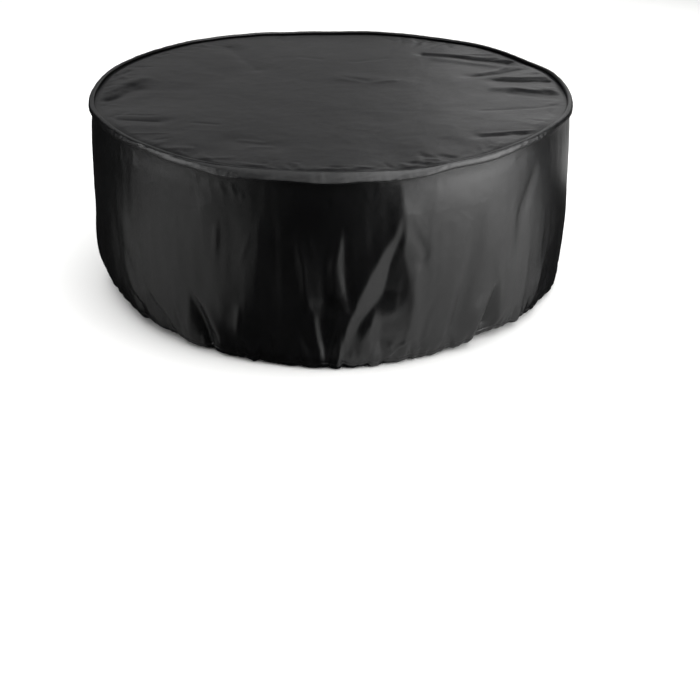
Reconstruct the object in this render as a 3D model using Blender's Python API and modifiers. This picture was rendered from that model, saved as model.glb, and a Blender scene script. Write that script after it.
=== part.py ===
"""Round patio furniture cover, hanging as a low drum.

Three pieces of cloth: the round top panel, the side wall with its gathered hem, and the
strip that binds the seam between them. Metres, +Z up, the front faces -Y.
Azimuths are degrees from the front, turning towards +X.
"""
import math
from collections import namedtuple

import bmesh
import bpy

# ---- overall sizes -------------------------------------------------------------------
CLOTH = 0.002                 # thickness of the coated cloth, with its backing
TOP_HEIGHT = 0.791            # upper face of the top panel beside the rim
WALL_TOP = 0.7848             # upper edge of the side wall, just under the top panel
RIM_RADIUS = 0.985            # outer face of the wall at the rim
FLAT_RADIUS = 0.968           # where the top panel's flat part ends at the binding
SAG = 0.009                   # how far the top panel sinks towards its middle
GATHERS = 74                  # scallops that the elastic draws round the hem
GATHER_DEPTH = 0.0085         # how far a gather stands in or out
GATHER_LIFT = 0.0060          # how far the hem's edge rises between two scallops
GATHER_REACH = 0.085          # height at which the gathers have faded out
CALM_FROM = 0.600             # folds of the wall start to fade out above this height
CALM_AT = 0.760               # and the wall is plain from here up, under the binding
FOLD_FADE = 0.050             # length over which a fold runs out past its end
FOLD_TOP = 0.45               # share of its length over which a fold deepens from its top
FOLD_FOOT = 0.35              # and fades out towards a foot above the hem
HEM_HOLD = 0.50               # share of a fold's depth that the elastic takes up
HEM_REACH = 0.120             # height to which it does
FOOT_REACH = 0.16             # share of the height to which the hem's own line is felt

# ---- how the cloth is divided --------------------------------------------------------
Spread = namedtuple("Spread", "start stop columns")
SPREADS = (
    Spread(-180, -104, 18),
    Spread(-104, -52, 15),
    Spread(-52, -20, 16),
    Spread(-20, 22, 26),
    Spread(22, 56, 16),
    Spread(56, 100, 12),
    Spread(100, 136, 12),
    Spread(136, 180, 11),
)
COLUMNS = sum(spread.columns for spread in SPREADS)

# ---- slow uneven waves round the cover ------------------------------------------------
# Each has a number of turns, a size, a start and a lean with height.
Wave = namedtuple("Wave", "turns size start lean")
BILLOWS = (
    Wave(4, 0.0016, 0.7, 0.0),
    Wave(9, 0.0012, 0.0, 5.0),
)
GATHER_DRIFT = (
    Wave(3, 1.1, 0.6, 0.0),
    Wave(7, 0.7, 2.1, 0.0),
)
GATHER_FULLNESS = 0.72
GATHER_CHANGE = (
    Wave(5, 0.28, 1.3, 0.0),
)
BINDING_RIPPLE = (
    Wave(11, 0.30, 0.4, 0.0),
    Wave(19, 0.25, 1.9, 0.0),
)

# ---- side wall: its line from the hem up ---------------------------------------------
Level = namedtuple("Level", "share radius")
LEVELS = (
    Level(0.000, 0.938),
    Level(0.022, 0.949),
    Level(0.055, 0.960),
    Level(0.100, 0.968),
    Level(0.170, 0.976),
    Level(0.260, 0.9805),
    Level(0.365, 0.9845),
    Level(0.490, 0.9885),
    Level(0.660, 0.9905),
    Level(0.880, 0.9885),
    Level(0.955, 0.985),
    Level(1.000, 0.985),
)
FINE_LEVELS = 3               # rows above the hem with twice the columns

# ---- lines all round, each easing from one of its points to the next ------------------
# The hem's height, and how far it stands out of the wall's own foot.
HemPoint = namedtuple("HemPoint", "azimuth height out")
HEM_LINE = (
    HemPoint(-180, 0.013, 0.002),
    HemPoint(-150, 0.018, 0.000),
    HemPoint(-120, 0.013, 0.002),
    HemPoint(-98, 0.016, 0.007),
    HemPoint(-84, 0.020, 0.004),
    HemPoint(-76, 0.032, -0.006),
    HemPoint(-66, 0.040, -0.010),
    HemPoint(-50, 0.030, -0.002),
    HemPoint(-40, 0.022, 0.000),
    HemPoint(-33, 0.012, 0.002),
    HemPoint(-25, 0.009, 0.003),
    HemPoint(-16, 0.007, 0.010),
    HemPoint(-8, 0.0065, 0.018),
    HemPoint(0, 0.0065, 0.026),
    HemPoint(6, 0.0065, 0.020),
    HemPoint(13, 0.007, 0.010),
    HemPoint(21, 0.008, 0.003),
    HemPoint(30, 0.018, 0.002),
    HemPoint(42, 0.030, 0.000),
    HemPoint(52, 0.028, 0.003),
    HemPoint(62, 0.023, 0.009),
    HemPoint(74, 0.014, 0.013),
    HemPoint(90, 0.016, 0.007),
    HemPoint(120, 0.018, 0.010),
    HemPoint(150, 0.012, 0.003),
    HemPoint(180, 0.013, 0.002),
)

# How far the rim sinks between the places that hold it up.
RimPoint = namedtuple("RimPoint", "azimuth drop")
RIM_LINE = (
    RimPoint(-180, 0.016),
    RimPoint(-170, 0.014),
    RimPoint(-158, 0.005),
    RimPoint(-148, 0.000),
    RimPoint(-137, -0.005),
    RimPoint(-104, -0.010),
    RimPoint(-90, -0.002),
    RimPoint(-80, 0.000),
    RimPoint(-64, -0.009),
    RimPoint(-48, -0.003),
    RimPoint(-28, 0.005),
    RimPoint(-10, 0.002),
    RimPoint(6, 0.003),
    RimPoint(17, 0.008),
    RimPoint(30, 0.001),
    RimPoint(46, -0.006),
    RimPoint(60, -0.009),
    RimPoint(72, -0.002),
    RimPoint(90, 0.000),
    RimPoint(104, -0.004),
    RimPoint(118, 0.008),
    RimPoint(133, 0.003),
    RimPoint(152, 0.010),
    RimPoint(166, 0.010),
    RimPoint(180, 0.016),
)

# How full the binding is.
FullPoint = namedtuple("FullPoint", "azimuth fullness")
FULL_LINE = (
    FullPoint(-180, -0.3),
    FullPoint(-46, -0.3),
    FullPoint(-24, 1.2),
    FullPoint(-14, 0.7),
    FullPoint(-1, 0.7),
    FullPoint(5, 0.1),
    FullPoint(20, 0.0),
    FullPoint(40, -0.3),
    FullPoint(180, -0.3),
)

# ---- folds of the side wall: a ridge stands out, a valley has a depth below zero ------
# Each runs from its top, past its middle, to its foot.
Fold = namedtuple("Fold", "depth half_width top_az top_z mid_az mid_z foot_az foot_z")
FOLDS = (
    # gathered middle of the front
    Fold(0.010, 0.036, 14.3, 0.580, 5.9, 0.290, 2.2, 0.0),
    Fold(-0.012, 0.034, 15.9, 0.550, 9.6, 0.250, 4.2, 0.0),
    Fold(-0.006, 0.026, -1.5, 0.500, -1.2, 0.290, -0.2, 0.0),
    Fold(0.008, 0.021, -4.4, 0.300, -3.2, 0.160, -2.4, 0.0),
    Fold(0.006, 0.024, -6.6, 0.540, -5.4, 0.400, -4.8, 0.260),
    Fold(0.007, 0.034, -9.6, 0.580, -9.4, 0.350, -9.6, 0.120),
    Fold(-0.008, 0.028, -13.0, 0.610, -12.8, 0.480, -13.4, 0.340),
    Fold(0.005, 0.020, 1.0, 0.560, 1.4, 0.400, 3.0, 0.280),
    Fold(0.008, 0.022, 8.8, 0.240, 8.9, 0.110, 9.6, 0.0),
    Fold(0.007, 0.030, 17.6, 0.420, 18.0, 0.240, 17.4, 0.040),
    Fold(0.007, 0.055, 14.8, 0.757, 15.4, 0.620, 15.6, 0.480),
    # left of the front
    Fold(0.005, 0.065, -27.0, 0.757, -28.0, 0.600, -29.0, 0.400),
    Fold(0.005, 0.026, -20.0, 0.240, -20.8, 0.150, -20.4, 0.040),
    Fold(-0.016, 0.026, -32.0, 0.260, -31.2, 0.130, -31.4, 0.0),
    Fold(0.009, 0.032, -29.8, 0.240, -27.2, 0.130, -24.2, 0.0),
    Fold(-0.012, 0.028, -48.0, 0.200, -44.0, 0.110, -38.6, 0.0),
    Fold(0.006, 0.036, -56.0, 0.300, -53.4, 0.180, -50.4, 0.040),
    Fold(0.004, 0.050, -57.6, 0.580, -55.0, 0.450, -53.0, 0.300),
    # right of the front
    Fold(-0.015, 0.040, 34.6, 0.580, 31.8, 0.300, 27.8, 0.030),
    Fold(0.010, 0.030, 36.8, 0.240, 34.0, 0.130, 31.2, 0.0),
    Fold(-0.018, 0.026, 39.0, 0.250, 38.2, 0.130, 37.2, 0.0),
    Fold(-0.007, 0.040, 52.6, 0.700, 47.8, 0.500, 46.4, 0.300),
    Fold(-0.012, 0.032, 64.0, 0.270, 62.6, 0.130, 61.0, 0.0),
    # sides and back
    Fold(0.011, 0.055, 83.0, 0.440, 84.8, 0.230, 86.0, 0.0),
    Fold(-0.014, 0.048, 101.0, 0.260, 99.6, 0.130, 98.2, 0.0),
    Fold(0.014, 0.046, 115.4, 0.330, 117.6, 0.160, 119.0, 0.0),
    Fold(-0.013, 0.060, 133.0, 0.520, 130.4, 0.260, 128.6, 0.0),
    Fold(0.015, 0.050, 147.0, 0.290, 148.6, 0.150, 150.0, 0.0),
    Fold(-0.015, 0.052, 169.0, 0.400, 166.0, 0.200, 164.2, 0.0),
    Fold(0.013, 0.056, -174.6, 0.300, -176.0, 0.150, -177.2, 0.0),
    Fold(-0.011, 0.050, -160.0, 0.230, -158.0, 0.120, -157.2, 0.0),
    Fold(0.016, 0.052, -137.0, 0.420, -140.4, 0.210, -142.0, 0.0),
    Fold(-0.014, 0.050, -126.0, 0.260, -124.2, 0.130, -123.0, 0.0),
    Fold(0.011, 0.056, -107.4, 0.380, -108.8, 0.190, -110.6, 0.0),
    Fold(-0.014, 0.048, -91.0, 0.240, -89.6, 0.120, -88.0, 0.0),
    Fold(0.014, 0.050, -80.0, 0.330, -80.0, 0.160, -78.0, 0.0),
)

# ---- creases of the top panel, each along a line between two places on it ------------
Crease = namedtuple("Crease", "depth half_width x1 y1 x2 y2")
CREASES = (
    # right, behind
    Crease(-0.0055, 0.034, 0.422, 0.580, 0.800, 0.440),
    Crease(0.0040, 0.032, 0.470, 0.500, 0.770, 0.380),
    Crease(-0.0050, 0.032, 0.600, 0.240, 0.850, 0.320),
    Crease(-0.0050, 0.036, 0.700, 0.150, 0.930, 0.125),
    Crease(0.0040, 0.034, 0.690, 0.050, 0.920, 0.020),
    Crease(-0.0040, 0.034, 0.770, -0.030, 0.930, -0.090),
    # right, in front
    Crease(-0.0040, 0.036, 0.560, -0.575, 0.730, -0.570),
    # left
    Crease(-0.0050, 0.034, -0.900, -0.120, -0.800, 0.020),
    Crease(0.0040, 0.034, -0.920, 0.020, -0.800, 0.150),
    Crease(-0.0035, 0.036, -0.812, -0.406, -0.660, -0.406),
    # middle
    Crease(0.0035, 0.060, 0.057, 0.226, 0.300, 0.165),
    Crease(-0.0035, 0.060, -0.440, 0.640, -0.320, 0.340),
    Crease(-0.0030, 0.060, -0.360, -0.600, -0.200, -0.680),
)

# ---- rings of the top panel, from its middle out, the last three turned down ---------
# Relief and follow are the shares of the creases and of the rim's drop that a ring takes.
Ring = namedtuple("Ring", "radius drop relief follow")
RINGS = (
    Ring(0.0000, 0.0000, 1.0, 0.00),
    Ring(0.3000, 0.0000, 1.0, 0.00),
    Ring(0.5400, 0.0000, 1.0, 0.06),
    Ring(0.7100, 0.0000, 1.0, 0.30),
    Ring(0.8300, 0.0000, 1.0, 0.62),
    Ring(0.9150, 0.0000, 0.8, 0.87),
    Ring(0.9680, 0.0000, 0.0, 1.00),
    Ring(0.9830, 0.0005, 0.0, 1.00),
    Ring(0.9873, 0.0050, 0.0, 1.00),
    Ring(0.9873, 0.0140, 0.0, 1.00),
)

# ---- section of the binding: out from RIM_RADIUS and up from TOP_HEIGHT ---------------
# The swells are how much of the strip's local fullness that point takes.
SectionPoint = namedtuple("SectionPoint", "out up swell_out swell_down")
BINDING_SECTION = (
    SectionPoint(-0.0130, 0.0012, 0.0, 0.0),
    SectionPoint(-0.0085, 0.0090, 0.0, 0.0),
    SectionPoint(0.0010, 0.0102, 0.3, 0.0),
    SectionPoint(0.0100, 0.0024, 0.8, 0.4),
    SectionPoint(0.0134, -0.0085, 1.0, 1.0),
    SectionPoint(0.0112, -0.0188, 1.0, 1.0),
    SectionPoint(0.0036, -0.0218, 0.0, 1.0),
)
SWELL_OUT = 0.0030            # fullness of the strip, outwards
SWELL_DOWN = 0.0055           # fullness of the strip, downwards

COVER_BLACK = (0.012, 0.0125, 0.0135, 1.0)
BINDING_BLACK = (0.016, 0.0165, 0.0175, 1.0)


def smooth(share):
    """Ease a share between 0 and 1."""
    share = min(max(share, 0.0), 1.0)
    return share * share * (3.0 - 2.0 * share)


def turn(angle):
    """Bring an angle in degrees to between -180 and 180."""
    return (angle + 180.0) % 360.0 - 180.0


def azimuth_of(column):
    """Azimuth of a column, whole or half, counted from the back."""
    for spread in SPREADS:
        if column <= spread.columns:
            return spread.start + (spread.stop - spread.start) * column / spread.columns
        column -= spread.columns
    return 180.0


def along(line, azimuth):
    """Values of a line's points at one azimuth, easing from one point to the next."""
    azimuth = turn(azimuth)
    for first, second in zip(line, line[1:]):
        if azimuth <= second.azimuth:
            share = smooth((azimuth - first.azimuth) / (second.azimuth - first.azimuth))
            return [start + (stop - start) * share for start, stop in zip(first[1:], second[1:])]
    return list(line[-1][1:])


def waves(table, azimuth, z=0.0):
    """Sum of a table's waves at one place."""
    phase = math.radians(azimuth)
    return sum(
        wave.size * math.sin(wave.turns * phase + wave.start + wave.lean * z)
        for wave in table
    )


def gather(azimuth):
    """Uneven wave of the gathers, about -1 to 1."""
    fullness = GATHER_FULLNESS + waves(GATHER_CHANGE, azimuth)
    return fullness * math.sin(GATHERS * math.radians(azimuth) + waves(GATHER_DRIFT, azimuth))


def fold_azimuth(fold, z):
    """Azimuth of a fold's line at one height."""
    if z >= fold.mid_z:
        share = (z - fold.mid_z) / (fold.top_z - fold.mid_z)
        return fold.mid_az + (fold.top_az - fold.mid_az) * share
    share = (z - fold.foot_z) / (fold.mid_z - fold.foot_z)
    return fold.foot_az + (fold.mid_az - fold.foot_az) * max(share, 0.0)


def fold_strength(fold, z):
    """Share of its depth that a fold has at one height: it dies out upwards."""
    length = fold.top_z - fold.foot_z
    strength = smooth((fold.top_z + FOLD_FADE - z) / (FOLD_TOP * length + FOLD_FADE))
    if fold.foot_z > 0.0:
        strength *= smooth((z - fold.foot_z + FOLD_FADE) / (FOLD_FOOT * length))
    return strength


def fold_relief(azimuth, z):
    """How far the folds bring one place of the wall out."""
    relief = 0.0
    for fold in FOLDS:
        away = math.radians(turn(azimuth - fold_azimuth(fold, z))) * RIM_RADIUS
        if abs(away) < 3.0 * fold.half_width:
            share = math.exp(-(away / fold.half_width) ** 2)
            relief += fold.depth * fold_strength(fold, z) * share
    return relief


def wall_line(share):
    """Radius of the plain wall at a share of its height."""
    for first, second in zip(LEVELS, LEVELS[1:]):
        if share <= second.share:
            part = (share - first.share) / (second.share - first.share)
            return first.radius + (second.radius - first.radius) * part
    return LEVELS[-1].radius


def at(azimuth, radius, z):
    """Point at an azimuth from the front."""
    angle = math.radians(azimuth)
    return (radius * math.sin(angle), -radius * math.cos(angle), z)


def wall_point(azimuth, row):
    """Point of the wall's outer face."""
    share = LEVELS[int(row)].share
    wave = gather(azimuth)
    hem, hem_out = along(HEM_LINE, azimuth)
    (drop,) = along(RIM_LINE, azimuth)
    hem -= GATHER_LIFT * wave
    z = hem + (WALL_TOP - drop - hem) * share
    calm = smooth((CALM_AT - drop - z) / (CALM_AT - CALM_FROM))
    near_hem = smooth((GATHER_REACH - (z - hem)) / GATHER_REACH)
    held = 1.0 - HEM_HOLD * smooth((HEM_REACH - (z - hem)) / HEM_REACH)
    radius = wall_line(share) + hem_out * (1.0 - smooth(share / FOOT_REACH))
    radius += calm * (waves(BILLOWS, azimuth, z) + held * fold_relief(azimuth, z))
    return at(azimuth, radius + GATHER_DEPTH * wave * near_hem, z)


def top_relief(x, y):
    """Height of the top panel's creases at one place."""
    relief = 0.0
    for crease in CREASES:
        run_x = crease.x2 - crease.x1
        run_y = crease.y2 - crease.y1
        share = ((x - crease.x1) * run_x + (y - crease.y1) * run_y)
        share /= run_x * run_x + run_y * run_y
        share = min(max(share, 0.0), 1.0)
        away = math.hypot(x - crease.x1 - share * run_x, y - crease.y1 - share * run_y)
        relief += crease.depth * math.exp(-(away / crease.half_width) ** 2)
    return relief


def top_point(azimuth, row):
    """Point of the top panel's upper face."""
    ring = RINGS[int(row)]
    (drop,) = along(RIM_LINE, azimuth)
    x, y, z = at(azimuth, ring.radius, TOP_HEIGHT - ring.drop - ring.follow * drop)
    inside = 1.0 - (ring.radius / FLAT_RADIUS) ** 2
    z -= SAG * max(inside, 0.0)
    return (x, y, z + ring.relief * top_relief(x, y))


def binding_point(azimuth, row):
    """Point of the binding's outer face."""
    point = BINDING_SECTION[int(row)]
    (drop,) = along(RIM_LINE, azimuth)
    (full,) = along(FULL_LINE, azimuth)
    full += waves(BINDING_RIPPLE, azimuth)
    out = point.out + SWELL_OUT * full * point.swell_out
    up = point.up - SWELL_DOWN * full * point.swell_down
    return at(azimuth, RIM_RADIUS + out, TOP_HEIGHT + up - drop)


def make_material(name, colour, roughness):
    """Plain material of one kind of cloth."""
    material = bpy.data.materials.new(name)
    material.use_nodes = True
    shader = material.node_tree.nodes["Principled BSDF"]
    shader.inputs["Base Color"].default_value = colour
    shader.inputs["Roughness"].default_value = roughness
    material.diffuse_color = colour
    return material


def make_sheet(name, rows, point_at, material, fine_rows=0):
    """Wrap a flat grid round the cover and thicken it into one closed sheet of cloth."""
    bpy.ops.mesh.primitive_grid_add(
        x_subdivisions=COLUMNS, y_subdivisions=rows - 1, size=2.0)
    sheet = bpy.context.object
    sheet.name = name
    mesh = bmesh.new()
    mesh.from_mesh(sheet.data)
    for vertex in mesh.verts:
        vertex.co.x = round((vertex.co.x + 1.0) * COLUMNS / 2.0)
        vertex.co.y = round((vertex.co.y + 1.0) * (rows - 1) / 2.0)
    if fine_rows:
        along = [
            edge for edge in mesh.edges
            if all(vertex.co.y <= fine_rows for vertex in edge.verts)
            and abs(edge.verts[0].co.y - edge.verts[1].co.y) < 0.5
        ]
        bmesh.ops.subdivide_edges(mesh, edges=along, cuts=1, use_grid_fill=True)
    for vertex in mesh.verts:
        vertex.co = point_at(azimuth_of(vertex.co.x), round(vertex.co.y))
    bmesh.ops.remove_doubles(mesh, verts=mesh.verts, dist=0.00005)
    bmesh.ops.triangulate(mesh, faces=mesh.faces, quad_method="SHORT_EDGE")
    bmesh.ops.recalc_face_normals(mesh, faces=mesh.faces)
    mesh.to_mesh(sheet.data)
    mesh.free()
    shell = sheet.modifiers.new("cloth thickness", "SOLIDIFY")
    shell.thickness = CLOTH
    shell.offset = -1.0
    shell.use_even_offset = True
    shell.use_rim = True
    sheet.data.materials.append(material)
    sheet.data.shade_smooth()
    return sheet


def main():
    for thing in list(bpy.data.objects):
        bpy.data.objects.remove(thing, do_unlink=True)
    cover = bpy.data.collections.new("patio_furniture_cover")
    bpy.context.scene.collection.children.link(cover)

    cloth = make_material("black coated cloth", COVER_BLACK, 0.5)
    tape = make_material("black binding cloth", BINDING_BLACK, 0.45)
    pieces = (
        make_sheet("side_wall", len(LEVELS), wall_point, cloth, fine_rows=FINE_LEVELS),
        make_sheet("top_panel", len(RINGS), top_point, cloth),
        make_sheet("rim_binding", len(BINDING_SECTION), binding_point, tape),
    )
    for piece in pieces:
        for holder in list(piece.users_collection):
            holder.objects.unlink(piece)
        cover.objects.link(piece)


main()
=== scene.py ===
import math
from collections import namedtuple

import bmesh
import bpy
import numpy as np
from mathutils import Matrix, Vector, noise


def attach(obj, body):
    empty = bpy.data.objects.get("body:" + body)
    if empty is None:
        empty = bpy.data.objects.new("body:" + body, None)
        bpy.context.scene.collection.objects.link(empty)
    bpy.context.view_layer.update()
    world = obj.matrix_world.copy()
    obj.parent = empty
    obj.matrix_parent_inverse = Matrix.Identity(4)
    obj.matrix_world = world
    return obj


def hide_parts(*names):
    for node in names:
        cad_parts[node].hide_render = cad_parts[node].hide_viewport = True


# Looks of a round patio furniture cover: black coated cloth hanging as a low drum.
# Metres, +Z up, the front faces -Y. Azimuths are degrees from the front, towards +X.

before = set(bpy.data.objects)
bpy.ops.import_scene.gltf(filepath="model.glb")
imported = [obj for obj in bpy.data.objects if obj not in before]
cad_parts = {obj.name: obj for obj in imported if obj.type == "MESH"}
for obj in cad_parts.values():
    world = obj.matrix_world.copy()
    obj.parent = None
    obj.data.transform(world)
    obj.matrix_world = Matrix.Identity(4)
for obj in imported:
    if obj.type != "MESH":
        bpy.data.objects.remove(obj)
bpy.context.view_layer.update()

bl_info = {
    "name": "Patio furniture cover",
    "version": (1, 0, 0),
    "blender": (4, 5, 0),
    "location": "View3D > Sidebar > Cover",
    "description": "Makes a round patio furniture cover of coated cloth, its stitching and its studio",
    "category": "Object",
}


def rows_of(kind, *rows):
    """Rows with the columns that kind names."""
    return tuple(kind(*row) for row in rows)


# ---- lines that the cloth keeps from the solids
TOP_HEIGHT = 0.791  # upper face of the top panel beside the rim
WALL_TOP = 0.7848  # upper edge of the side wall, just under the top panel
RIM_RADIUS = 0.985  # outer face of the wall at the rim
FLAT_RADIUS = 0.968  # where the top panel's flat part ends at the binding
TUCK_RADIUS = 0.9873  # outer face of the top panel where it turns down
CALM_FROM = 0.600  # folds of the wall start to fade out above this height
CALM_AT = 0.760  # and the wall is plain from here up, under the binding
CLEAR_GAP = 0.004  # finer folds end this far below that
CLEAR_EASE = 0.012  # over this height
SLACK_FROM = 0.720  # the cloth hangs slack from here down
SLACK_EASE = 0.600  # over this height
FOLD_WIDTHS = 3.0  # a fold isn't felt beyond so many of its half widths
FOLD_FADE = 0.050  # length over which a fold runs out past its end
FOLD_TOP = 0.45  # share of its length over which a fold deepens from its top
FOLD_FOOT = 0.35  # and fades out towards a foot above the hem
HEM_HOLD = 0.50  # share of a fold's depth that the elastic takes up
HEM_REACH = 0.120  # height to which it does
FOOT_REACH = 0.16  # share of the height to which the hem's own line is felt
TUNNEL_PUFF = 0.0022  # how far the hem tunnel stands out over its elastic
TUNNEL_ROUND = 0.7  # below 1 it is flat in its middle
TUNNEL_SINK = 0.0016  # how deep its seam is drawn in
TUNNEL_SINK_REACH = 0.0025  # and how far above and below
TURN_RADIUS = 0.9790  # where the top panel starts to turn down
TURN_DROP = 0.0068  # how far it turns down inside the binding
TURN_LIMIT = 0.995  # share of the turn at which it ends
RELIEF_END = 0.962  # radius at which the top panel's creases have ended
RELIEF_EASE = 0.030  # over this width
FOLLOW_FROM = 0.42  # radius from which the top panel follows the rim's sinking
FOLLOW_EASE = 0.54  # over this width
DITCH_FROM = 0.946  # radius from which it dips beside the binding
DITCH_EASE = 0.022  # over this width

# The sharp upright edge at the front's right, by its azimuth at heights up the wall.
CornerPoint = namedtuple("CornerPoint", "height azimuth")
CORNER_LINE = rows_of(
    CornerPoint,
    (0.44, 15), (0.504, 15.1), (0.624, 15.4), (0.752, 14.6),
)
CORNER_FOOT = 0.40  # height at which it starts
CORNER_EASE = 0.14  # and over which it grows
CORNER_DEPTH = 0.0032  # how far it stands out
CORNER_WIDTH = 0.060  # how far it is felt to either side
CORNER_ROUND = 0.006  # and how round it is

# ---- slow uneven waves round the cover
# Each has a number of turns, a size, a start and a lean with height.
Wave = namedtuple("Wave", "turns size start lean")
BILLOWS = rows_of(
    Wave,
    (4, 0.0016, 0.7, 0), (9, 0.0012, 0, 5),
)
GATHER_DRIFT = rows_of(
    Wave,
    (3, 1.1, 0.6, 0), (7, 0.7, 2.1, 0),
)
GATHER_FULLNESS = 0.72  # how puffed the gathers are, before it changes round the hem
GATHER_ROUND = 0.8  # below 1 they are broad, with tight puckers between them
GATHER_LEVEL = 1.15  # sets them about evenly in and out
GATHER_CHANGE = rows_of(
    Wave,
    (5, 0.28, 1.3, 0.0),
)
BINDING_RIPPLE = rows_of(
    Wave,
    (11, 0.3, 0.4, 0), (19, 0.25, 1.9, 0),
)

# ---- side wall: its line from the hem up
Level = namedtuple("Level", "share radius")
LEVELS = rows_of(
    Level,
    (0, 0.938), (0.022, 0.949), (0.055, 0.96), (0.1, 0.968), (0.17, 0.976), (0.26, 0.9805),
    (0.365, 0.9845), (0.49, 0.9885), (0.66, 0.9905), (0.88, 0.9885), (0.955, 0.985), (1, 0.985),
)

# ---- lines all round, each easing from one of its points to the next
# The hem's height, and how far it stands out of the wall's own foot.
HemPoint = namedtuple("HemPoint", "azimuth height out")
HEM_LINE = rows_of(
    HemPoint,
    (-180, 0.013, 0.002), (-150, 0.018, 0), (-120, 0.013, 0.002), (-98, 0.016, 0.007),
    (-84, 0.02, 0.004), (-76, 0.032, -0.006), (-66, 0.04, -0.01), (-50, 0.03, -0.002),
    (-40, 0.022, 0), (-33, 0.012, 0.002), (-25, 0.009, 0.003), (-16, 0.007, 0.01),
    (-8, 0.0065, 0.018), (0, 0.0065, 0.026), (6, 0.0065, 0.02), (13, 0.007, 0.01),
    (21, 0.008, 0.003), (30, 0.018, 0.002), (42, 0.03, 0), (52, 0.028, 0.003), (62, 0.023, 0.009),
    (74, 0.014, 0.013), (90, 0.016, 0.007), (120, 0.018, 0.01), (150, 0.012, 0.003),
    (180, 0.013, 0.002),
)

# How far the rim sinks between the places that hold it up.
RimPoint = namedtuple("RimPoint", "azimuth drop")
RIM_LINE = rows_of(
    RimPoint,
    (-180, 0.016), (-170, 0.014), (-158, 0.005), (-148, 0), (-137, -0.005), (-104, -0.01),
    (-90, -0.002), (-80, 0), (-64, -0.009), (-48, -0.003), (-28, 0.005), (-10, 0.002), (6, 0.003),
    (17, 0.008), (30, 0.001), (46, -0.006), (60, -0.009), (72, -0.002), (90, 0), (104, -0.004),
    (118, 0.008), (133, 0.003), (152, 0.01), (166, 0.01), (180, 0.016),
)

# How full the binding is.
FullPoint = namedtuple("FullPoint", "azimuth fullness")
FULL_LINE = rows_of(
    FullPoint,
    (-180, -0.3), (-46, -0.3), (-24, 1.2), (-14, 0.7), (-1, 0.7), (5, 0.1), (20, 0), (40, -0.3),
    (180, -0.3),
)

# ---- folds of the side wall: a ridge stands out, a valley has a depth below zero
# Each runs from its top, past its middle, to its foot.
Fold = namedtuple("Fold", "depth half_width top_az top_z mid_az mid_z foot_az foot_z")
FOLDS = rows_of(
    Fold,
    # gathered middle of the front, without the sharp pleats, which are below
    (-0.006, 0.026, -1.5, 0.5, -1.2, 0.29, -0.2, 0),
    (0.006, 0.024, -6.6, 0.54, -5.4, 0.4, -4.8, 0.26), (0.005, 0.02, 1, 0.56, 1.4, 0.4, 3, 0.28),
    (0.007, 0.03, 17.6, 0.42, 18, 0.24, 17.4, 0.04),
    (0.007, 0.055, 14.8, 0.757, 15.4, 0.62, 15.6, 0.48),
    # left of the front
    (0.005, 0.065, -27, 0.757, -28, 0.6, -29, 0.4),
    (0.005, 0.026, -20, 0.24, -20.8, 0.15, -20.4, 0.04),
    (0.009, 0.032, -29.8, 0.24, -27.2, 0.13, -24.2, 0),
    (0.006, 0.036, -56, 0.3, -53.4, 0.18, -50.4, 0.04),
    (0.004, 0.05, -57.6, 0.58, -55, 0.45, -53, 0.3),
    # right of the front
    (-0.015, 0.04, 34.6, 0.58, 31.8, 0.3, 27.8, 0.03), (0.01, 0.03, 36.8, 0.24, 34, 0.13, 31.2, 0),
    (-0.007, 0.04, 52.6, 0.7, 47.8, 0.5, 46.4, 0.3),
    # sides and back
    (0.011, 0.055, 83, 0.44, 84.8, 0.23, 86, 0), (-0.014, 0.048, 101, 0.26, 99.6, 0.13, 98.2, 0),
    (0.014, 0.046, 115.4, 0.33, 117.6, 0.16, 119, 0),
    (-0.013, 0.06, 133, 0.52, 130.4, 0.26, 128.6, 0), (0.015, 0.05, 147, 0.29, 148.6, 0.15, 150, 0),
    (-0.015, 0.052, 169, 0.4, 166, 0.2, 164.2, 0),
    (0.013, 0.056, -174.6, 0.3, -176, 0.15, -177.2, 0),
    (-0.011, 0.05, -160, 0.23, -158, 0.12, -157.2, 0),
    (0.016, 0.052, -137, 0.42, -140.4, 0.21, -142, 0),
    (-0.014, 0.05, -126, 0.26, -124.2, 0.13, -123, 0),
    (0.011, 0.056, -107.4, 0.38, -108.8, 0.19, -110.6, 0),
    (-0.014, 0.048, -91, 0.24, -89.6, 0.12, -88, 0), (0.014, 0.05, -80, 0.33, -80, 0.16, -78, 0),
)

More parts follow.
